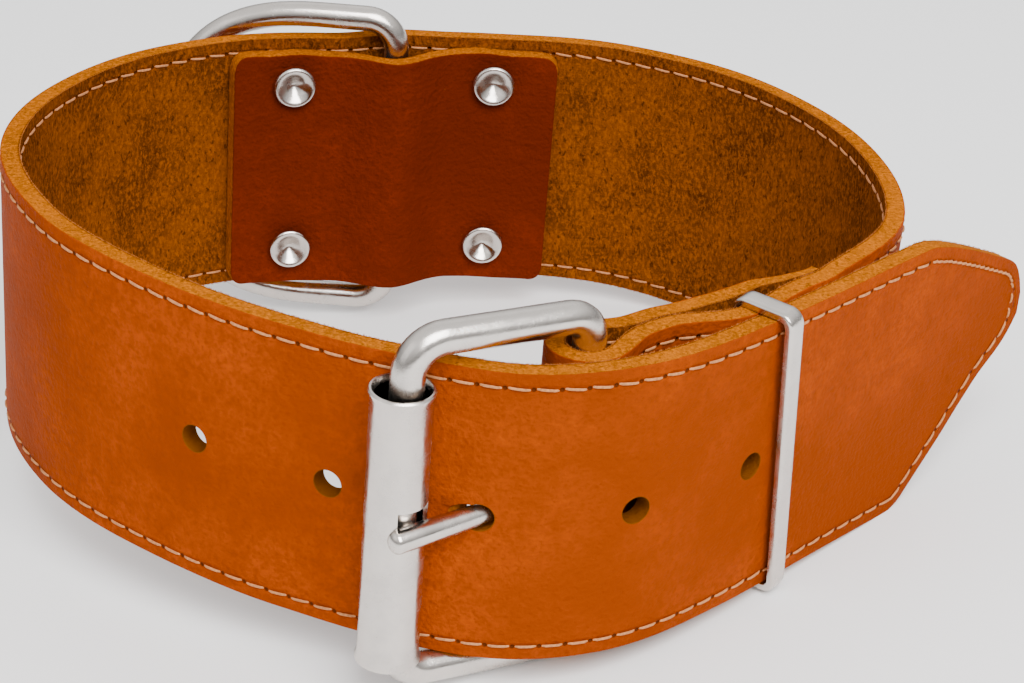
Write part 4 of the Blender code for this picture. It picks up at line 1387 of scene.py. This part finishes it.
class COLLAR_OT_buckle(bpy.types.Operator):
    """Bend the buckle's wire frame and turn its roller"""

    bl_idname = "collar.buckle"
    bl_label = "Make Buckle"

    def execute(self, context):
        half = (FRAME_INNER_HEIGHT + FRAME_WIRE) / 2
        corners = (FRAME_ROLLER_CORNER, FRAME_HINGE_CORNER)
        path = rectangle_path(FRAME_SIDE, 0.0, FRAME_REACH - FRAME_SLIP, half, *corners)
        lean = Vector((FRAME_SHIFT, 0, 0))
        path = [ROLLER + lean + Z_AXIS * FRAME_RISE + point for point in path]
        wire = wire_piece("wire_frame", path, FRAME_WIRE / 2, finish("metal"), "collar")
        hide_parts("buckle_frame")
        outer, rim, inner = ROLLER_DIAMETER / 2, ROLLER_RIM / 2, ROLLER_DIAMETER / 2 - ROLLER_WALL
        outer, rim, inner = (radius + ROLLER_SWELL for radius in (outer, rim, inner))
        half, width = ROLLER_LENGTH / 2, context.scene.collar_metal.roller_rim
        upper = [(inner, half - width), (rim - 0.8 * ROLLER_WALL, half), (rim - 0.35 * ROLLER_WALL, half)]
        upper += [(rim, half - 0.25 * width), (rim, half - 0.6 * width), (outer, half - width - 0.0003)]
        rows = [(radius, -height) for radius, height in upper[::-1]] + upper
        seat = ROLLER + Vector((ROLLER_SHIFT, 0, 0))
        tube = turned_piece(rows, seat - Z_AXIS * ROLLER_DROP, Z_AXIS, closed=True)
        outward = TONGUE_SIDE.cross(Z_AXIS)
        if outward.dot(HINGE + TONGUE_SIDE * TONGUE_TO_ROLLER - ROLLER) < 0:
            outward = -outward
        floor = TONGUE_LIFT - TONGUE_WIRE / 2 - CLEARANCE / 2
        notch = Matrix((TONGUE_SIDE, outward, Z_AXIS)).transposed().to_4x4()
        shut = TONGUE_PAST_ROLLER - NOTCH_SHUT
        size = Vector((shut + ROLLER_DIAMETER, ROLLER_DIAMETER, NOTCH_HEIGHT + NOTCH_ROOM))
        centre = Vector((shut - size.x / 2, floor + ROLLER_DIAMETER / 2, NOTCH_RISE))
        cut_box(tube, centre, size, STANCE @ Matrix.Translation(ROLLER) @ notch)
        settle(tube, "roller_tube", finish("metal"), "collar")
        self.paint_bore_shade(tube, seat, inner + BORE_MARGIN)
        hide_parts("roller")
        return {"FINISHED"}

    @staticmethod
    def paint_bore_shade(tube, seat, reach):
        """Mark the faces of the bore, which light hardly reaches, to be painted near black as painted shade.
        """
        centre = STANCE @ seat
        axis = (STANCE.to_3x3() @ Z_AXIS).normalized()
        deep = []
        for face in tube.data.polygons:
            arm = face.center - centre
            arm -= axis * arm.dot(axis)
            deep.append(1.0 if arm.length < reach and face.normal.dot(arm) < 0 else 0.0)
        bore_shade = tube.data.attributes.new("bore_shade", "FLOAT", "FACE")
        bore_shade.data.foreach_set("value", deep)


class COLLAR_OT_tongue(bpy.types.Operator):
    """Bend the tongue: an eye round the hinge bar and a shaft into the roller's notch"""

    bl_idname = "collar.tongue"
    bl_label = "Make Tongue"

    def execute(self, context):
        start = HINGE + Z_AXIS * TONGUE_RISE
        eye_points = [start + turned(TONGUE_SIDE, 7.5 * i) * EYE_RADIUS for i in range(48)]
        eye = wire_piece("eye", eye_points, TONGUE_EYE_WIRE / 2, finish("metal"), "collar")
        end = TONGUE_TO_ROLLER + TONGUE_PAST_ROLLER
        tip = 0.34 * TONGUE_WIRE
        distances = [EYE_RADIUS, EYE_RADIUS + TONGUE_EYE_WIRE]
        distances += [TONGUE_TO_ROLLER * share for share in (0.35, 0.5, 0.65, 0.8, 0.9)]
        distances.append(end - tip)
        radii = [0.35 * TONGUE_EYE_WIRE] + [self.radius(d) for d in distances[1:]]
        full = radii[-1]
        for i in range(1, 10):
            turn = math.pi / 2 * i / 10
            distances.append(end - tip * (1 - math.sin(turn)))
            radii.append(full * math.cos(turn))
        dip = TONGUE_SIDE - Z_AXIS * math.tan(math.radians(TONGUE_DIP))
        points = [start + dip * d for d in distances]
        shaft = wire_piece("tongue_wire", points, TONGUE_WIRE / 2, finish("metal"), "collar", False, radii)
        combine(shaft, eye, "UNION")
        bpy.ops.object.shade_smooth_by_angle(angle=math.radians(50))
        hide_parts("tongue")
        return {"FINISHED"}

    @staticmethod
    def radius(distance):
        """Radius of the shaft at a distance from the hinge bar."""
        share = ease((distance - EYE_RADIUS) / (TONGUE_TO_ROLLER - EYE_RADIUS))
        return (TONGUE_NECK + (TONGUE_WIRE - TONGUE_NECK) * share) / 2


class COLLAR_OT_keeper(bpy.types.Operator):
    """Bend the flat keeper round the tail and the layer under it"""

    bl_idname = "collar.keeper"
    bl_label = "Make Keeper"

    def execute(self, context):
        place, _, inward = STRAP.at(STRAP.nearest(loop_point(KEEPER_ANGLE), TAIL_START))
        side = turned(inward, KEEPER_TURN)
        along = side.cross(Z_AXIS)
        skew = KEEPER_WIDTH * math.sin(math.radians(KEEPER_TURN))
        under = inset_point(KEEPER_ANGLE, under_inset(KEEPER_ANGLE))
        near = -(HALF_STRAP + KEEPER_SLACK)
        far = (under - place).dot(side) + HALF_STRAP + CLEARANCE + skew
        path = rectangle_path(side, near, far, HALF_WIDTH + CLEARANCE, KEEPER_CORNER, KEEPER_CORNER)
        wide, thick = KEEPER_WIDTH / 2, KEEPER_THICKNESS
        top = Z_AXIS * HALF_WIDTH
        half = [(0.94, 0.0), (1.0, 0.08), (1.0, 0.62), (0.97, 0.78), (0.90, 0.90), (0.78, 0.97), (0.4, 1.0)]
        section = [(-a, b) for a, b in half] + half[::-1]
        lean = Matrix.Rotation(math.radians(KEEPER_LEAN), 3, side)
        rings = []
        for i, point in enumerate(path):
            travel = (path[(i + 1) % len(path)] - path[i - 1]).normalized()
            out = travel.cross(along)
            if out.dot(point - side * (near + far) / 2) < 0:
                out = -out
            spots = [point + along * (wide * a) + out * (thick * b) for a, b in section]
            rings.append([STANCE @ (place + top + lean @ (spot - top)) for spot in spots])
        keeper = self.skinned(rings)
        settle(keeper, "flat_keeper", finish("metal"), "collar", 40.0)
        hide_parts("keeper")
        return {"FINISHED"}

    @staticmethod
    def skinned(rings):
        """A closed skin over rings of points."""
        size, count = len(rings[0]), len(rings)
        faces = []
        for k in range(count):
            for i in range(size):
                j, m = (i + 1) % size, (k + 1) % count
                faces.append((k * size + i, k * size + j, m * size + j, m * size + i))
        piece = mesh_piece("keeper", [point for ring in rings for point in ring], faces=faces)
        face_outwards()
        return piece


class COLLAR_OT_lead_ring(bpy.types.Operator):
    """Bend the lead ring, whose bar lies between the strap and the patch"""

    bl_idname = "collar.lead_ring"
    bl_label = "Make Lead Ring"

    def execute(self, context):
        side = turned(Vector((1, 0, 0)), RING_HEADING)
        half = (RING_INNER_HEIGHT + RING_WIRE) / 2
        bow = RING_DEPTH - RING_ARM
        path = []
        for up in (-1, 1):
            centre = side * RING_BEND + Z_AXIS * (up * (half - RING_BEND))
            turn = quarter(centre, side * -RING_BEND, Z_AXIS * (up * RING_BEND), QUARTER_STEPS)
            path += turn if up == 1 else turn[::-1]
        for i in range(61):
            t = math.pi * i / 60 - math.pi / 2
            out = abs(math.cos(t)) ** (2 / RING_FULLNESS)
            rise = abs(math.sin(t)) ** (2 / RING_FULLNESS) * math.copysign(1, -t)
            path.append(side * (RING_ARM + bow * out) + Z_AXIS * (half * rise))
        lifted = ring_place() + Z_AXIS * RING_LIFT
        path = [lifted + point for point in path]
        ring = wire_piece("lead_ring_wire", path, RING_WIRE / 2 + RING_SWELL, finish("metal"), "ring")
        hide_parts("lead_ring")
        return {"FINISHED"}


class COLLAR_OT_stage(bpy.types.Operator):
    """Set the pale floor, the soft lights and the camera"""

    bl_idname = "collar.stage"
    bl_label = "Set Stage"

    def execute(self, context):
        sizes = context.scene.collar_stage
        clear_selection()
        bpy.ops.mesh.primitive_plane_add(size=6.0, location=(0, 0, -0.00005))
        floor = context.object
        floor.name = "floor"
        material, tree, shader, coordinates = start_material("pale floor")
        shader.inputs["Base Color"].default_value = (*sizes.floor_color, 1.0)
        rough = span(tree, noise(tree, coordinates, 300.0), 0.3, 0.7, 0.55, 0.65)
        tree.links.new(rough, shader.inputs["Roughness"])
        floor.data.materials.append(material)
        lights = [
            self.area("key light", (0.30, -0.60, 0.80), 0.7, sizes.key_power),
            self.area("fill light", (-0.80, -0.45, 0.60), 0.7, sizes.fill_power),
            self.area("back light", (0.10, 0.90, 0.70), 0.8, 0.6 * sizes.fill_power),
        ]
        sky = bpy.data.worlds.new("white sky")
        sky.use_nodes = True
        upward = sky.node_tree.nodes.new("ShaderNodeTexCoord").outputs["Generated"]
        height = shader_node(sky.node_tree, "ShaderNodeSeparateXYZ", {"Vector": upward}).outputs["Z"]
        share = span(sky.node_tree, height, 0.02, 0.70)
        tone = mixed(sky.node_tree, share, (0.16, 0.16, 0.16), (1.0, 1.0, 1.0))
        sky.node_tree.links.new(tone, sky.node_tree.nodes["Background"].inputs["Color"])
        sky.node_tree.nodes["Background"].inputs["Strength"].default_value = sizes.world_strength
        context.scene.world = sky
        self.set_camera(context, sizes.lens)
        return {"FINISHED"}

    @staticmethod
    def area(name, place, size, power):
        """A square soft light that faces the collar."""
        bpy.ops.object.light_add(type="AREA", location=place)
        light = bpy.context.object
        light.name = name
        light.data.size = size
        light.data.energy = power
        aim = Vector((0, 0, 0.03)) - Vector(place)
        light.rotation_euler = aim.to_track_quat("-Z", "Y").to_euler()
        return light

    @staticmethod
    def set_camera(context, lens):
        """Place the camera, given in the upright collar's own frame."""
        place = Vector((0.0084, -0.3507, 0.1804))
        drop, roll = math.radians(27.92), math.radians(4.593)
        forward = Vector((0, math.cos(drop), -math.sin(drop)))
        raised = Vector((0, math.sin(drop), math.cos(drop)))
        right = Vector((1, 0, 0)) * math.cos(roll) + raised * math.sin(roll)
        top = Vector((-1, 0, 0)) * math.sin(roll) + raised * math.cos(roll)
        turn = Matrix((right, top, -forward)).transposed().to_4x4()
        bpy.ops.object.camera_add()
        camera = context.object
        camera.name = "camera"
        camera.matrix_world = STANCE @ Matrix.Translation(place) @ turn
        camera.data.lens = lens
        camera.data.sensor_width = 36.0
        camera.data.clip_start = 0.01
        context.scene.camera = camera


OPERATORS = (
    COLLAR_OT_strap,
    COLLAR_OT_stitching,
    COLLAR_OT_fibres,
    COLLAR_OT_patch,
    COLLAR_OT_rivets,
    COLLAR_OT_buckle,
    COLLAR_OT_tongue,
    COLLAR_OT_keeper,
    COLLAR_OT_lead_ring,
    COLLAR_OT_stage,
)


class COLLAR_PT_panel(bpy.types.Panel):
    """Buttons for the collar's pieces"""

    bl_idname = "COLLAR_PT_panel"
    bl_label = "Pet Collar"
    bl_space_type = "VIEW_3D"
    bl_region_type = "UI"
    bl_category = "Collar"

    def draw(self, context):
        for sizes in (context.scene.collar_leather, context.scene.collar_metal, context.scene.collar_stage):
            for name in sizes.bl_rna.properties.keys():
                if name not in ("rna_type", "name"):
                    self.layout.prop(sizes, name)
        for operator in OPERATORS:
            self.layout.operator(operator.bl_idname)


CLASSES = (LeatherSizes, MetalSizes, StageSizes, *OPERATORS, COLLAR_PT_panel)


def register():
    """Register the classes and hang the sizes on the scene."""
    for item in CLASSES:
        bpy.utils.register_class(item)
    bpy.types.Scene.collar_leather = PointerProperty(type=LeatherSizes)
    bpy.types.Scene.collar_metal = PointerProperty(type=MetalSizes)
    bpy.types.Scene.collar_stage = PointerProperty(type=StageSizes)


def unregister():
    """Take the sizes and the classes away."""
    del bpy.types.Scene.collar_leather
    del bpy.types.Scene.collar_metal
    del bpy.types.Scene.collar_stage
    for item in reversed(CLASSES):
        bpy.utils.unregister_class(item)


def main():
    """Make every piece."""
    register()
    for operator in OPERATORS:
        group, name = operator.bl_idname.split(".")
        getattr(getattr(bpy.ops, group), name)()
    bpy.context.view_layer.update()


if __name__ == "__main__":
    main()
